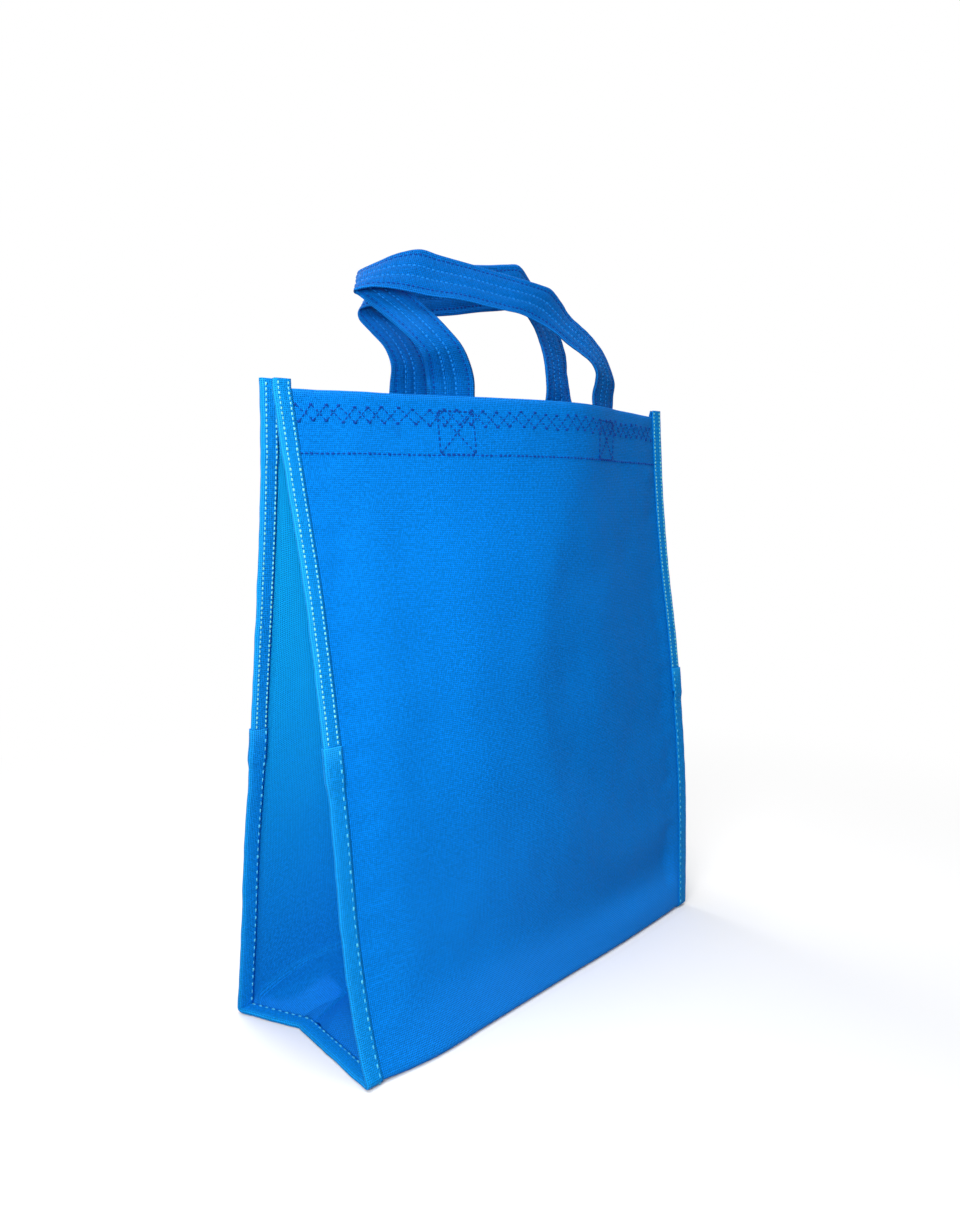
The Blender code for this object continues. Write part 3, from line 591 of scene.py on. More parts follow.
def body_panel(material):
    """The strip that makes the front, base and back, with a hem folded in at each end."""
    angles = np.linspace(0, math.pi, 9)
    turn = [(HEM_TURN * (1 - math.sin(a)), HEM_TURN * (1 + math.cos(a))) for a in angles]
    start = [(s, 2 * HEM_TURN) for s in spread(HEM_DEPTH, HEM_TURN + 0.002, HEM_STEP_LENGTH)] + turn
    front = [(s, 0.0) for s in spread(HEM_TURN, FRONT_END, PANEL_STEP_LENGTH)[1:]]
    fold = [(s, 0.0) for s in np.linspace(FRONT_END, BASE_START, 8)[1:]]
    base = [(s, 0.0) for s in spread(BASE_START, BASE_END, BASE_STEP_LENGTH)[1:-1]]
    half = start + front + fold
    path = np.array(half + base + [(STRIP_LENGTH - s, d) for s, d in reversed(half)])
    run = np.concatenate([[0.0], np.cumsum(np.abs(np.diff(path[:, 0])) + np.abs(np.diff(path[:, 1])))])
    across = np.linspace(-OUTER_EDGE, OUTER_EDGE, BODY_COLUMNS)
    u, s = np.meshgrid(across, path[:, 0])
    depth = np.repeat(path[:, 1:2], len(across), axis=1)
    cloth = np.stack([u, np.repeat(run[:, None], len(across), axis=1)], -1)
    down = from_mouth(s)
    pale_and_painted_light = hump(down, MOUTH_PALE_REACH) + hump(down - BAG_HEIGHT, BASE_PALE_REACH)
    # Painted light: paler on the lower left of the front and back, and near and under the base
    painted_lower_light = FRONT_PAINTED_LIGHT * smooth(*FRONT_PAINTED_LIGHT_GROWS, down)
    painted_lower_light = painted_lower_light + FOOT_PAINTED_LIGHT * smooth(*FOOT_PAINTED_LIGHT_GROWS, BAG_HEIGHT - down)
    pale_and_painted_light = np.maximum(pale_and_painted_light, painted_lower_light * smooth(*PAINTED_LIGHT_ACROSS, u))
    piece = sheet("bag_body", layer(u, s, depth), CLOTH, -1, material, cloth, pale_and_painted_light, flip=True)
    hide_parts("body_panel")
    return piece


def fold_depth(p, q):
    """How far a gusset stands in from its seams, at share p from front to back and height q."""
    place = through(FOLD_PLACE, q)
    reach = np.where(p < place, place, 1 - place)
    up = q / np.interp(p, *zip(*LEDGE))
    up = (up + 1 - np.sqrt((up - 1) ** 2 + LEDGE_ROUND)) / (1 + 1 - math.sqrt(LEDGE_ROUND))
    depth = FOOT_INSET + (through(FOLD_DEPTH, q) - FOOT_INSET) * np.clip(up, 0.0, 1.0)
    return depth * (1 - (np.abs(p - place) / reach) ** through(FOLD_SHARPNESS, q))


def gusset_point(side, p, q):
    """Point on a gusset's outer face inside its seams."""
    rim = np.sin(math.pi * np.clip(p, 0, 1))
    across = p * GUSSET_SPAN
    wave = GUSSET_WAVE * ripples(across, q, GUSSET_WAVE_LENGTH, turn=side)
    wave = rim * (wave + GUSSET_RIPPLE * ripples(across, q, GUSSET_RIPPLE_LENGTH, turn=2.0 * side))
    x = side * (SEAM_BEND - fold_depth(p, q) + wave * smooth(0.0, 0.03, q))
    z = q * (1 - GUSSET_SINK * (q / BAG_HEIGHT) ** 2) + BASE_EDGE_RISE + 2 * CLOTH + GAP
    skin = gusset_depth(BAG_HEIGHT - q) + SPARE
    y = (1 - p) * (front_y(x, z) + skin) + p * (back_y(x, z) - skin)
    return np.stack([x, y, z], -1)


def gusset(word, side, material):
    """A side panel: its rows run from seam to seam, and arch over its foot."""
    inside = np.linspace(0.0, 1.0, GUSSET_COLUMNS)[1:-1]
    arch = np.sin(math.pi * inside) ** GUSSET_ARCH_POWER
    half_way = (SEAM_BEND + OUTER_EDGE) / 2
    rows = []

    def seam_points(front_s, back_s, across):
        """A row's two points in the front and the back seam."""
        ends = np.array([front_s, back_s])
        return layer(side * across, ends, gusset_depth(ends))

    def row(front_s, back_s, middle):
        """Adds a row of points from seam allowance to seam allowance."""
        seam = seam_points(front_s, back_s, SEAM_BEND)
        half = seam_points(front_s, back_s, half_way)
        edge = seam_points(front_s, back_s, OUTER_EDGE)
        rows.append(np.concatenate([edge[:1], half[:1], seam[:1], middle, seam[1:], half[1:], edge[1:]]))

    def foot_row(r):
        """Where a row of the foot starts and ends along the strip."""
        return BASE_START + r * (FOOT_APEX - BASE_START), BASE_END + r * (FOOT_APEX - BASE_END)

    down_wall = spread(GUSSET_TOP, FRONT_END, GUSSET_STEP_LENGTH)
    for s in np.append(down_wall, np.linspace(FRONT_END, BASE_START, 5)[1:]):
        low = BAG_HEIGHT - min(s, FRONT_END)
        middle_height = GUSSET_ARCH + (BAG_HEIGHT - GUSSET_ARCH) * (low - FOLD_RADIUS) / FRONT_END
        rise = min(middle_height, BAG_HEIGHT - GUSSET_HEADROOM) - low
        dip = GUSSET_TOP_DIP * (1 - smooth(0.0, 1.6 * HEM_DEPTH, s))
        row(s, STRIP_LENGTH - s, gusset_point(side, inside, np.maximum(low + rise * arch - dip * arch, 0.0)))
    for r in spread(0.0, 0.80, 0.05)[1:]:
        front_s, back_s = foot_row(r)
        p = (front_s + (back_s - front_s) * inside - BASE_START) / (BASE_END - BASE_START)
        row(front_s, back_s, gusset_point(side, p, GUSSET_ARCH * (1 - r) * arch))
    for r, across in ((0.88, SEAM_BEND), (0.92, half_way), (0.95, OUTER_EDGE)):
        front_s, back_s = foot_row(r)
        s = front_s + (back_s - front_s) * inside
        row(front_s, back_s, layer(side * across, s, gusset_depth(s)))
    points = np.array(rows)
    steps = np.linalg.norm(np.diff(points, axis=1), axis=2)
    across = np.concatenate([np.zeros((len(rows), 1)), np.cumsum(steps, axis=1)], axis=1)
    across -= across[:, -1:] / 2
    middle = len(inside) // 2 + 3
    drop = path_length(points[:, middle])
    cloth = np.stack([across, np.repeat(drop[:, None], points.shape[1], axis=1)], -1)
    # Painted light on each side panel's foot: its back ledge, and its front half near the floor
    share = np.linspace(0.0, 1.0, points.shape[1])
    foot = points[..., 2] / np.interp(share, *zip(*LEDGE))
    ledge = smooth(1.15, 0.90, foot) * smooth(0.60, 0.66, share)
    front = smooth(0.022, 0.008, points[..., 2]) * smooth(0.60, 0.50, share)
    pale_and_painted_light = LEDGE_PAINTED_LIGHT * ledge + GUSSET_FOOT_PAINTED_LIGHT * front
    piece = sheet("side_" + word, points, CLOTH, -1, material, cloth, pale_and_painted_light, flip=side > 0)
    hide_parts("gusset_" + word)
    return piece


def lapping(s, end):
    """1 where a tape lies over another tape's end, 0 well past that end."""
    past = (s - end) * (1 if end < STRIP_LENGTH / 2 else -1)
    return 1 - smooth(*TAPE_LAP_STEPS, past)


def binding(name, side, stretch, under, material):
    """Folded tape round one stretch of a seam's edge; it lies over the tape ends listed in under."""
    s = spread(stretch[0], stretch[1], STITCH / 4)
    lifted = np.zeros_like(s)
    for end in under:
        lifted = np.maximum(lifted, lapping(s, end))
    lifted = lifted * (TAPE + GAP)
    pinch = np.clip(from_mouth(s) / TAPE_STAND, -1.0, 0.0)
    inner = gusset_depth(np.clip(s, 0, STRIP_LENGTH)) * (1 + 0.5 * pinch) + GAP + lifted
    outer = -GAP - lifted
    middle = (inner + outer) / 2
    rim = OUTER_EDGE + GAP + lifted + 0.00014 * ripples(s, 0 * s, 0.021, turn=side)
    swell = 0.5 + 0.5 * np.cos(2 * math.pi * s / STITCH)
    loose = 0.5 + 0.5 * ripples(s, 0 * s, 0.017, turn=1 + side)
    half = (inner - outer) / 2

    def leg(start, depth, away, stitch_row):
        """One leg from its cut edge to the fold: places across, depths and shares of its width."""
        made = []
        for share in np.linspace(0, 1, LEG_POINTS):
            bulge = math.sin(math.pi * min(1.0, share * 1.15)) * (TAPE_BULGE + TAPE_LOOSE * loose)
            pull = TAPE_PULL * swell * hump(share - stitch_row, TAPE_PULL_REACH)
            across = start + (rim - TAPE_TURN - start) * share
            made.append((across, depth + away * (bulge - pull), share))
        return made

    section = leg(TAPE_LEG_OUTER, outer, -1, 0.19)
    for angle in np.linspace(-TAPE_TURN_ANGLE, TAPE_TURN_ANGLE, 5):
        depth = middle + half * math.sin(angle) / math.sin(TAPE_TURN_FULL)
        section.append((rim - TAPE_TURN + TAPE_TURN * math.cos(angle), depth, 1.0))
    section += leg(TAPE_LEG_INNER, inner, 1, 0.15)[::-1]
    rows = [layer(side * across, s, depth) for across, depth, _ in section]
    points = np.array(rows)
    steps = np.linalg.norm(np.diff(points, axis=0), axis=2).mean(axis=1)
    over = np.concatenate([[0.0], np.cumsum(steps)])
    cloth = np.stack(np.meshgrid(over, s, indexing="ij"), -1)
    # Painted highlight along the tape's folded rim, weaker on the lower tapes
    folded = np.array([max(0.0, share - 0.8) * 5 for _, _, share in section])
    pale_and_painted_light = np.repeat(folded[:, None], len(s), axis=1) * (LOWER_TAPE_RIM_HIGHLIGHT if under else 1.0)
    for end in stretch if under else ():
        pale_and_painted_light = np.maximum(pale_and_painted_light, hump(s - end, TAPE_PALE_END_REACH)[None, :])
    piece = sheet(name.replace("binding", "tape"), points, TAPE, -1, material, cloth, pale_and_painted_light, flip=side > 0)
    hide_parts(name)
    return piece


def strap_middle(route, front):
    """A handle's stations: both sewn ends behind the hems, and its free route between."""
    depth = 2 * HEM_TURN + GAP + STRAP_THICKNESS / 2 + SPARE
    half = STRAP_WIDTH / 2
    edges = []
    for foot in FRONT_FEET if front else BACK_FEET:
        for down in (HANDLE_SEWN, HANDLE_SEWN / 2, SEWN_TOP):
            s = down if front else STRIP_LENGTH - down
            u = foot + half * np.array([-1, 1])
            edges.append(layer(u, s + 0 * u, depth + 0 * u))
    free = []
    for place, across in route:
        reach = np.array(across) / np.linalg.norm(across) * half
        free.append(np.stack([np.array(place) - reach, np.array(place) + reach]))
    return np.array(edges[:3] + free + edges[:2:-1])


def strap_frame(route, front, step):
    """Places, directions across and normals along a strap, about one step apart."""
    stations = strap_middle(route, front)
    centre = stations.mean(axis=1)
    run = path_length(centre)
    s = spread(0.0, run[-1], step)
    middle = through(list(zip(run, centre)), s)
    across = through(list(zip(run, stations[:, 1] - stations[:, 0])), s)
    across /= np.linalg.norm(across, axis=1, keepdims=True)
    along = np.gradient(middle, axis=0)
    normal = np.cross(along, across)
    normal /= np.linalg.norm(normal, axis=1, keepdims=True)
    return s, middle, across, normal


def strap_height(share, s, face):
    """How far a strap's face stands from its middle plane, at a share of its width."""
    height = STRAP_THICKNESS / 2 + 0 * s
    for row in STRAP_ROWS:
        height = height - STRAP_GROOVE * hump(share - row, STRAP_GROOVE_REACH)
    height = height + STRAP_PLY * smooth(-0.02, 0.02, share * face)
    return height + STRAP_WAVE * ripples(s, share * STRAP_WIDTH + 0 * s, STRAP_WAVE_LENGTH, turn=face)


def handle(name, route, front, material):
    """A strap of folded cloth, sewn flat behind the hem at both ends."""
    s, middle, across, normal = strap_frame(route, front, STRAP_STEP_LENGTH)
    shares = np.linspace(-0.5, 0.5, STRAP_COLUMNS)
    sag = STRAP_SAG * ripples(s, 0 * s, STRAP_SAG_LENGTH, turn=0.3)
    ring, cloth = [], []
    for face in (1, -1):
        for share in shares[::-1][1:-1] if face < 0 else shares:
            past_flat = max(0.0, abs(share) - STRAP_FLAT) / STRAP_EDGE
            rounded = math.sqrt(max(0.0, 1 - past_flat**2))
            height = strap_height(share, s, face) * rounded * face + sag * (0.25 - share**2)
            ring.append(middle + across * share * STRAP_WIDTH + normal * height[:, None])
            cloth.append(np.stack([share * STRAP_WIDTH * face + 0.05 * face + 0 * s, s], -1))
    points = np.array(ring).transpose(1, 0, 2)
    rows, columns = points.shape[:2]
    faces = [list(f) for f in grid_faces(rows, columns, closed=True)]
    faces += [list(range(columns))[::-1], list(range((rows - 1) * columns, rows * columns))]
    # Painted highlight along the strap's two folded edges
    edges = np.clip(np.abs(np.array([*shares, *shares[::-1][1:-1]])) * 12 - 5.2, 0, 1)
    pale_and_painted_light = np.repeat(edges[None], rows, axis=0)
    cloth = np.array(cloth).transpose(1, 0, 2)
    piece = mesh_piece(name.replace("handle", "strap"), points, faces, material, cloth, pale_and_painted_light)
    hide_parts(name)
    return piece


def stitches(name, runs, material, pitch, radius=0.00040, share=0.66, uneven=0.2):
    """Thread along runs, each a path of surface points with the normals that face away from the cloth."""
    sides, rings = STITCH_SIDES, np.array(STITCH_RINGS)
    widths, lifts = np.array(STITCH_WIDTHS)[:, None], np.array(STITCH_LIFTS)
    angles = np.linspace(0, 2 * math.pi, sides, endpoint=False)
    verts, faces = [], []
    tube = grid_faces(len(rings), sides, closed=True)
    for path, out in runs:
        run = path_length(path)
        count = max(1, int(run[-1] / pitch))
        for k in range(count):
            at = (k + 0.5 - share / 2 + share * rings) * run[-1] / count
            place = np.stack([np.interp(at, run, path[:, a]) for a in range(3)], -1)
            up = np.stack([np.interp(at, run, out[:, a]) for a in range(3)], -1)
            up /= np.linalg.norm(up, axis=1, keepdims=True)
            along = place[-1] - place[0]
            side = np.cross(along / np.linalg.norm(along), up)
            size = 1 + uneven * math.sin(2.3 * k) * math.cos(0.7 * k + 1.0)
            centre = place + up * (THREAD_HEIGHT * size * lifts)[:, None]
            wide = np.cos(angles)[None, :] * size * radius * widths
            high = np.sin(angles)[None, :] * radius * STITCH_FLATNESS * widths
            ring = centre[:, None] + side[:, None] * wide[..., None] + up[:, None] * high[..., None]
            base = len(verts) * len(rings) * sides
            verts.append(ring.reshape(-1, 3))
            faces += (tube + base).tolist()
            faces += [list(range(base, base + sides))[::-1]]
            faces += [list(range(base + (len(rings) - 1) * sides, base + len(rings) * sides))]
    return mesh_piece(name, np.concatenate(verts), faces, material)


def strip_run(u, s, depth):
    """A path of points on a layer of the body strip, with the normals that face out of that layer."""
    u, s = np.broadcast_arrays(np.asarray(u, float), np.asarray(s, float))
    away = -1 if np.mean(depth) <= 0 else 1
    return layer(u, s, depth), away * inward(u, np.clip(s, 0, STRIP_LENGTH))


def zigzag(phase):
    """A zigzag across the bag below the mouth: its turns and its points, across and down."""
    turns = np.arange(-BAG_WIDTH / 2 + 0.002, BAG_WIDTH / 2, ZIGZAG_PERIOD / 2)
    count = np.arange(len(turns))
    turns = turns + ZIGZAG_DRIFT_ACROSS * np.sin(7.0 * count + 2.0 * phase)
    down = ZIGZAG_ROW + ZIGZAG_REACH * np.where((count + phase) % 2, 1.0, -1.0)
    down = down + ZIGZAG_DRIFT_DOWN * np.sin(5.0 * count + phase)
    u = np.linspace(turns[0], turns[-1], 12 * len(turns))
    return (turns, down), (u, np.interp(u, turns, down))


def box_and_cross(foot):
    """The sewn box with a cross at a handle's foot, as runs of places across and distances down."""
    left, right = foot - BOX_HALF, foot + BOX_HALF
    top, low = BOX_TOP, BOX_FOOT
    corners = [(left, top), (right, top), (right, low), (left, low), (left, top), (right, low)]
    runs = [corners, [(left, low), (right, top)]]
    made = []
    for run in runs:
        for (u0, s0), (u1, s1) in zip(run, run[1:]):
            made.append((np.linspace(u0, u1, 24), np.linspace(s0, s1, 24)))
    return made


def tape_runs(u, s, start):
    """Paths on both legs of the binding, raised where the lower tape lies over an upper one."""
    end = start + TAPE_OVERLAP
    lap = lapping(s, end) + lapping(s, STRIP_LENGTH - end)
    lifted = np.where((s > start) & (s < STRIP_LENGTH - start), lap, 0.0) * (TAPE + GAP)
    normal = inward(u + 0 * s, np.clip(s, 0, STRIP_LENGTH))
    inner = gusset_depth(np.clip(s, 0, STRIP_LENGTH)) + GAP + TAPE + lifted
    outer = THREAD_STAND - GAP - TAPE - lifted
    return [(layer(u, s, outer), -normal), (layer(u, s, inner), normal)]


# thread is painted dark as shade; pale, soft and mid are painted lighter as light
def sewing(thread, pale, soft, mid):
    """All the rows of stitches."""
    outer, inner = -THREAD_STAND, 2 * HEM_TURN + THREAD_STAND
    for word, turn in (("front", lambda s: s), ("back", lambda s: STRIP_LENGTH - s)):
        across = np.linspace(-BAG_WIDTH / 2, BAG_WIDTH / 2, 400)
        runs = [strip_run(across, turn(HEM_ROW + 0 * across), depth) for depth in (outer, inner)]
        stitches("thread_hem_" + word, runs, thread, **HEM_STITCH)
        runs, knots = [], []
        for phase in (0, 1):
            (turns, low), (u, down) = zigzag(phase)
            runs += [strip_run(u, turn(down), depth) for depth in (outer, inner)]
            for at, place in zip(turns, low):
                knots.append(strip_run(at + np.array([-0.0010, 0.0, 0.0010]), turn(place), outer))
        stitches("thread_zigzag_" + word, runs, thread, **ZIGZAG_STITCH)
        stitches("thread_turns_" + word, knots, thread, **TURN_STITCH)
        feet = FRONT_FEET if word == "front" else BACK_FEET
        runs = [strip_run(u, turn(down), outer) for foot in feet for u, down in box_and_cross(foot)]
        stitches("thread_boxes_" + word, runs, thread, **BOX_STITCH)
    for word, side in (("left", -1), ("right", 1)):
        start = LOWER_TAPE_STARTS[word]
        end = STRIP_LENGTH - start
        above = TAPE_STAND - 0.001
        runs = []
        for row in (STITCH_ROW, RIM_ROW):
            for low, high in ((-above, start), (end, STRIP_LENGTH + above)):
                runs += tape_runs(side * row, np.arange(low, high, PATH_STEP), start)
        stitches("thread_binding_" + word, runs, pale, **UPPER_TAPE_STITCH)
        runs = tape_runs(side * STITCH_ROW, np.arange(start + 0.001, end, PATH_STEP), start)
        stitches("thread_lower_" + word, runs, soft, **LOWER_TAPE_STITCH)
    for name, route, front in (("front", FRONT_HANDLE, True), ("back", BACK_HANDLE, False)):
        s, middle, across, normal = strap_frame(route, front, STRAP_STEP_LENGTH)
        for word, rows, colour in (("outer", STRAP_ROWS[::3], thread), ("inner", STRAP_ROWS[1:3], mid)):
            runs = []
            for share in rows:
                for face in (1, -1):
                    height = strap_height(share, s, face) * face
                    path = middle + across * share * STRAP_WIDTH + normal * height[:, None]
                    runs.append((path, face * normal))
            stitches("thread_strap_" + name + "_" + word, runs, colour, **STRAP_STITCH)


class Nodes:
    """The node tree of a material or world, with short calls for its arithmetic."""

    def __init__(self, owner):
        """Opens the tree; shader is a material's main shader, and nothing for a world."""
        owner.use_nodes = True
        self.owner = owner
        self.tree = owner.node_tree
        self.shader = self.tree.nodes.get("Principled BSDF")

    def node(self, kind, **values):
        """A new node, with its settings."""
        made = self.tree.nodes.new(kind)
        for key, value in values.items():
            setattr(made, key, value)
        return made

    def set(self, socket, value):
        """Links another node's output to a socket, or sets the socket's number or colour."""
        if isinstance(value, bpy.types.NodeSocket):
            self.tree.links.new(value, socket)
        else:
            socket.default_value = value

    def math(self, operation, a, b=0.0, c=0.0, clamp=False):
        """The result of one operation."""
        made = self.node("ShaderNodeMath", operation=operation, use_clamp=clamp)
        for socket, value in zip(made.inputs, (a, b, c)):
            self.set(socket, value)
        return made.outputs[0]

    def range(self, value, low, high, to_low=0.0, to_high=1.0):
        """A smooth step from one value to another."""
        made = self.node("ShaderNodeMapRange", interpolation_type="SMOOTHSTEP")
        for socket, v in zip(made.inputs, (value, low, high, to_low, to_high)):
            self.set(socket, v)
        return made.outputs[0]

    def mix(self, share, a, b):
        """A colour between two others."""
        made = self.node("ShaderNodeMix", data_type="RGBA")
        self.set(made.inputs[0], share)
        for socket, value in ((made.inputs[6], a), (made.inputs[7], b)):
            self.set(socket, value if isinstance(value, bpy.types.NodeSocket) else (*value, 1.0))
        return made.outputs[2]

    def noise(self, vector, scale, detail=2.0):
        """A cloudy pattern from 0 to 1."""
        made = self.node("ShaderNodeTexNoise")
        self.set(made.inputs["Vector"], vector)
        made.inputs["Scale"].default_value = scale
        made.inputs["Detail"].default_value = detail
        return made.outputs["Fac"]

    def look(self, values):
        """Sets or links the main shader's sockets by name."""
        for name, value in values.items():
            self.set(self.shader.inputs[name], value)

    def bump(self, height, strength, distance):
        """Gives the main shader the relief of a height."""
        made = self.node("ShaderNodeBump")
        made.inputs["Strength"].default_value = strength
        made.inputs["Distance"].default_value = distance
        self.set(made.inputs["Height"], height)
        self.look({"Normal": made.outputs[0]})

    def cloth_place(self):
        """The place on the flat cloth, whole and as its two parts."""
        made = self.node("ShaderNodeUVMap", uv_map="cloth")
        split = self.node("ShaderNodeSeparateXYZ")
        self.tree.links.new(made.outputs[0], split.inputs[0])
        return made.outputs[0], split.outputs[0], split.outputs[1]


def scaled(colour, factor):
    """A colour made lighter or darker."""
    return tuple(c * factor for c in colour)


def cloth_material(name, colour, pale, emboss=0.00024, roughness=0.62, top=None):
    """Non-woven cloth: bonded pits in a diagonal lattice, cloudy fibres, and a paler colour along folds,
    with painted light and painted highlights where each point asks for them; with a top colour, painted
    light towards the top.
    """
    made = Nodes(bpy.data.materials.new(name))
    place, u, v = made.cloth_place()
    wave = 2 * math.pi / EMBOSS_PITCH
    first = made.math("SINE", made.math("MULTIPLY", made.math("ADD", u, v), wave))
    second = made.math("SINE", made.math("MULTIPLY", made.math("SUBTRACT", u, v), wave))
    pit = made.range(made.math("MULTIPLY", first, second), 0.15, 0.75)
    cloud = made.noise(place, CLOUD_SCALE)
    fibre = made.noise(place, FIBRE_SCALE)
    broad = made.noise(place, PATCH_SCALE)
    pale_and_painted_light = made.node("ShaderNodeAttribute", attribute_name="pale_and_painted_light").outputs["Fac"]
    grain = made.math("MULTIPLY_ADD", fibre, 0.55, made.math("MULTIPLY", cloud, 0.45))
    dark, light = (scaled(colour, factor) for factor in GRAIN_RANGE)
    base = made.mix(made.range(grain, 0.38, 0.62), dark, light)
    base = made.mix(made.range(broad, 0.35, 0.65, 0.0, 0.20), base, scaled(colour, PATCH_LIGHT))
    # Painted light: the side panels grow lighter towards their top
    if top:
        base = made.mix(made.range(v, 0.05, 0.30, 0.88, 0.0), base, top)
    # Paler colour along folds, with painted light and painted highlights, as much as each point asks for
    paler_and_painted_light_colour = tuple(min(1.0, c * pale + 0.01) for c in colour)
    base = made.mix(made.math("MULTIPLY", pale_and_painted_light, 0.7, clamp=True), base, paler_and_painted_light_colour)
    base = made.mix(made.math("MULTIPLY", pit, 0.90), base, scaled(colour, PIT_DARK))
    made.look(
        {
            "Base Color": base,
            "Roughness": made.range(pit, 0.0, 1.0, roughness, roughness - 0.18),
            "Sheen Weight": SHEEN,
            "Sheen Roughness": 0.45,
            "Sheen Tint": (*SHEEN_TINT, 1.0),
            "Specular IOR Level": CLOTH_GLOSS,
            "Specular Tint": (*GLOSS_TINT, 1.0),
        }
    )
    height = made.math("MULTIPLY", pit, -emboss)
    height = made.math("MULTIPLY_ADD", fibre, FIBRE_HEIGHT, height)
    height = made.math("MULTIPLY_ADD", cloud, CLOUD_HEIGHT, height)
    made.bump(height, 1.0, 1.0)
    return made.owner


def thread_material(name, colour):
    """Twisted thread: fine light and dark turns."""
    made = Nodes(bpy.data.materials.new(name))
    place = made.node("ShaderNodeTexCoord").outputs["Object"]
    twist = made.noise(place, TWIST_SCALE, 1.0)
    paint = made.mix(twist, scaled(colour, 0.75), scaled(colour, 1.2))
    made.look({"Base Color": paint, "Roughness": 0.55, "Specular IOR Level": 0.1})
    made.bump(twist, 0.5, 0.0001)
    return made.owner


def seen_directly(made):
    """1 for rays that show the background: those of the camera, of gloss and of glass."""
    path = made.node("ShaderNodeLightPath")
    seen = made.math("MAXIMUM", path.outputs["Is Camera Ray"], path.outputs["Is Glossy Ray"])
    return made.math("MAXIMUM", seen, path.outputs["Is Transmission Ray"])


def floor():
    """A wide pale floor that keeps the bag's shadow and fades to white far from it."""
    bpy.ops.mesh.primitive_plane_add(size=60.0)
    plane = bpy.context.object
    plane.name = "floor"
    made = Nodes(bpy.data.materials.new("floor_paint"))
    place = made.node("ShaderNodeTexCoord").outputs["Object"]
    distance = made.node("ShaderNodeVectorMath", operation="LENGTH")
    made.set(distance.inputs[0], place)
    far = made.range(distance.outputs["Value"], *FLOOR_FADES)
    seen = seen_directly(made)
    paint = made.mix(seen, FLOOR_UNSEEN, FLOOR_SEEN)
    made.look({"Base Color": paint, "Roughness": 0.9, "Specular IOR Level": 0.1})
    glow = made.node("ShaderNodeEmission")
    glow.inputs["Color"].default_value = (1.0, 1.0, 1.0, 1.0)
    mixed = made.node("ShaderNodeMixShader")
    made.set(mixed.inputs[0], made.math("MULTIPLY", far, seen))
    made.tree.links.new(made.shader.outputs[0], mixed.inputs[1])
    made.tree.links.new(glow.outputs[0], mixed.inputs[2])
    made.tree.links.new(mixed.outputs[0], made.tree.nodes["Material Output"].inputs["Surface"])
    plane.data.materials.append(made.owner)


def area_light(name, turn, rise, away, size, power):
    """A round lamp that faces the bag: turned left from its front and raised, in degrees."""
    light = bpy.data.lights.new(name, "AREA")
    light.shape = "DISK"
    light.size = size
    light.energy = power
    lamp = link(bpy.data.objects.new(name, light))
    turn, rise = math.radians(turn), math.radians(rise)
    out = Vector((-math.sin(turn) * math.cos(rise), -math.cos(turn) * math.cos(rise), math.sin(rise)))
    lamp.location = BAG_MIDDLE + out * away
    lamp.rotation_mode = "QUATERNION"
    lamp.rotation_quaternion = (-out).to_track_quat("-Z", "Y")
    lamp.visible_camera = False


def lighting():
    """Soft studio light, strongest from the left front, and a world that is white where it is seen."""
    world = bpy.data.worlds.new("studio")
    bpy.context.scene.world = world
    sky = Nodes(world)
    background = sky.tree.nodes["Background"]
    strength = sky.math("MULTIPLY_ADD", seen_directly(sky), 1 - WORLD_LIGHT, WORLD_LIGHT)
    sky.set(background.inputs["Strength"], strength)
    background.inputs["Color"].default_value = (1.0, 1.0, 1.0, 1.0)
    for lamp in LAMPS:
        area_light(*lamp)


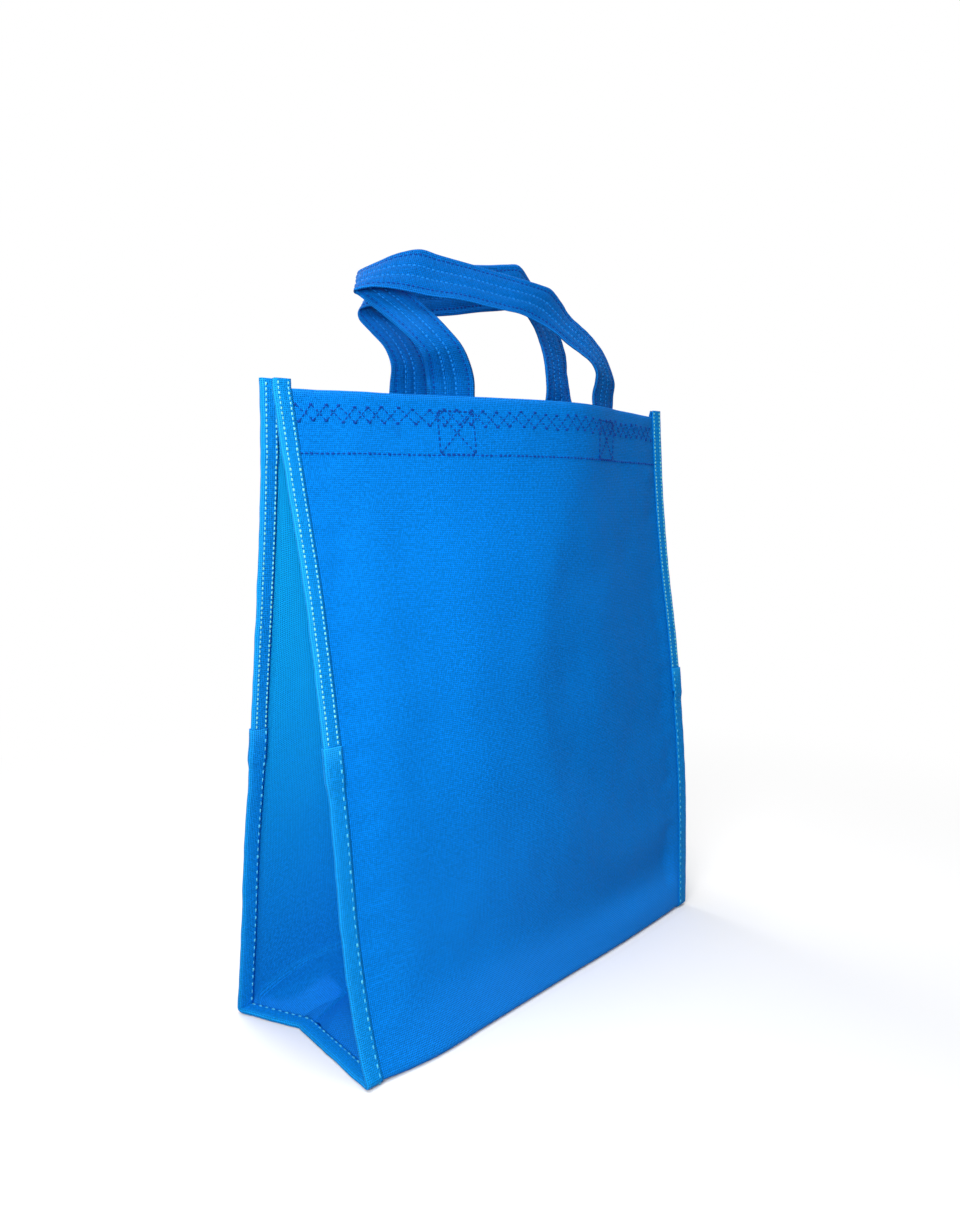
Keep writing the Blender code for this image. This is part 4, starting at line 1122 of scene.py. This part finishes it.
def camera():
    """The camera, from its place, its turn and tilt, and its focal length."""
    level = math.cos(CAMERA_PITCH)
    forward = Vector((math.cos(CAMERA_YAW) * level, math.sin(CAMERA_YAW) * level, math.sin(CAMERA_PITCH)))
    right = Vector((math.sin(CAMERA_YAW), -math.cos(CAMERA_YAW), 0.0))
    up = right.cross(forward)
    tilted = right * math.cos(CAMERA_ROLL) + up * math.sin(CAMERA_ROLL)
    upright = -right * math.sin(CAMERA_ROLL) + up * math.cos(CAMERA_ROLL)
    lens = bpy.data.cameras.new("camera")
    lens.sensor_width = SENSOR
    lens.lens = FOCAL_PIXELS * SENSOR / LONG_SIDE_PIXELS
    eye = link(bpy.data.objects.new("camera", lens))
    turn = Matrix((tilted, upright, -forward)).transposed().to_4x4()
    eye.matrix_world = Matrix.Translation(CAMERA_PLACE) @ turn
    bpy.context.scene.camera = eye


def main():
    """Makes every piece, the floor, the lamps and the camera."""
    body = cloth_material("body_cloth_look", BODY_BLUE, pale=1.42)
    side_cloth = cloth_material("gusset_cloth_painted_light_and_shade_look", GUSSET_PAINTED_SHADE_BLUE, pale=1.75, top=GUSSET_TOP_PAINTED_LIGHT_BLUE)
    tape = cloth_material("tape_look", TAPE_BLUE, emboss=0.00030, roughness=0.5, pale=1.65)
    strap = cloth_material("strap_look", STRAP_BLUE, emboss=0.00060, pale=2.1)
    threads = [thread_material(name, colour) for name, colour in THREADS]
    body_panel(body)
    for word, side in (("left", -1), ("right", 1)):
        gusset(word, side, side_cloth)
        start = LOWER_TAPE_STARTS[word]
        front_end = start + TAPE_OVERLAP
        back_end = STRIP_LENGTH - front_end
        stretches = (
            ("binding_front_" + word, (-TAPE_STAND, front_end), ()),
            ("binding_back_" + word, (back_end, STRIP_LENGTH + TAPE_STAND), ()),
            ("binding_lower_" + word, (start, STRIP_LENGTH - start), (front_end, back_end)),
        )
        for name, stretch, under in stretches:
            binding(name, side, stretch, under, tape)
    for name, route, front in (("handle_front", FRONT_HANDLE, True), ("handle_back", BACK_HANDLE, False)):
        handle(name, route, front, strap)
    sewing(*threads)
    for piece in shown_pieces():
        if piece.parent is None:
            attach(piece, "root")
    floor()
    lighting()
    camera()
    bpy.context.scene.view_settings.view_transform = "Standard"


main()
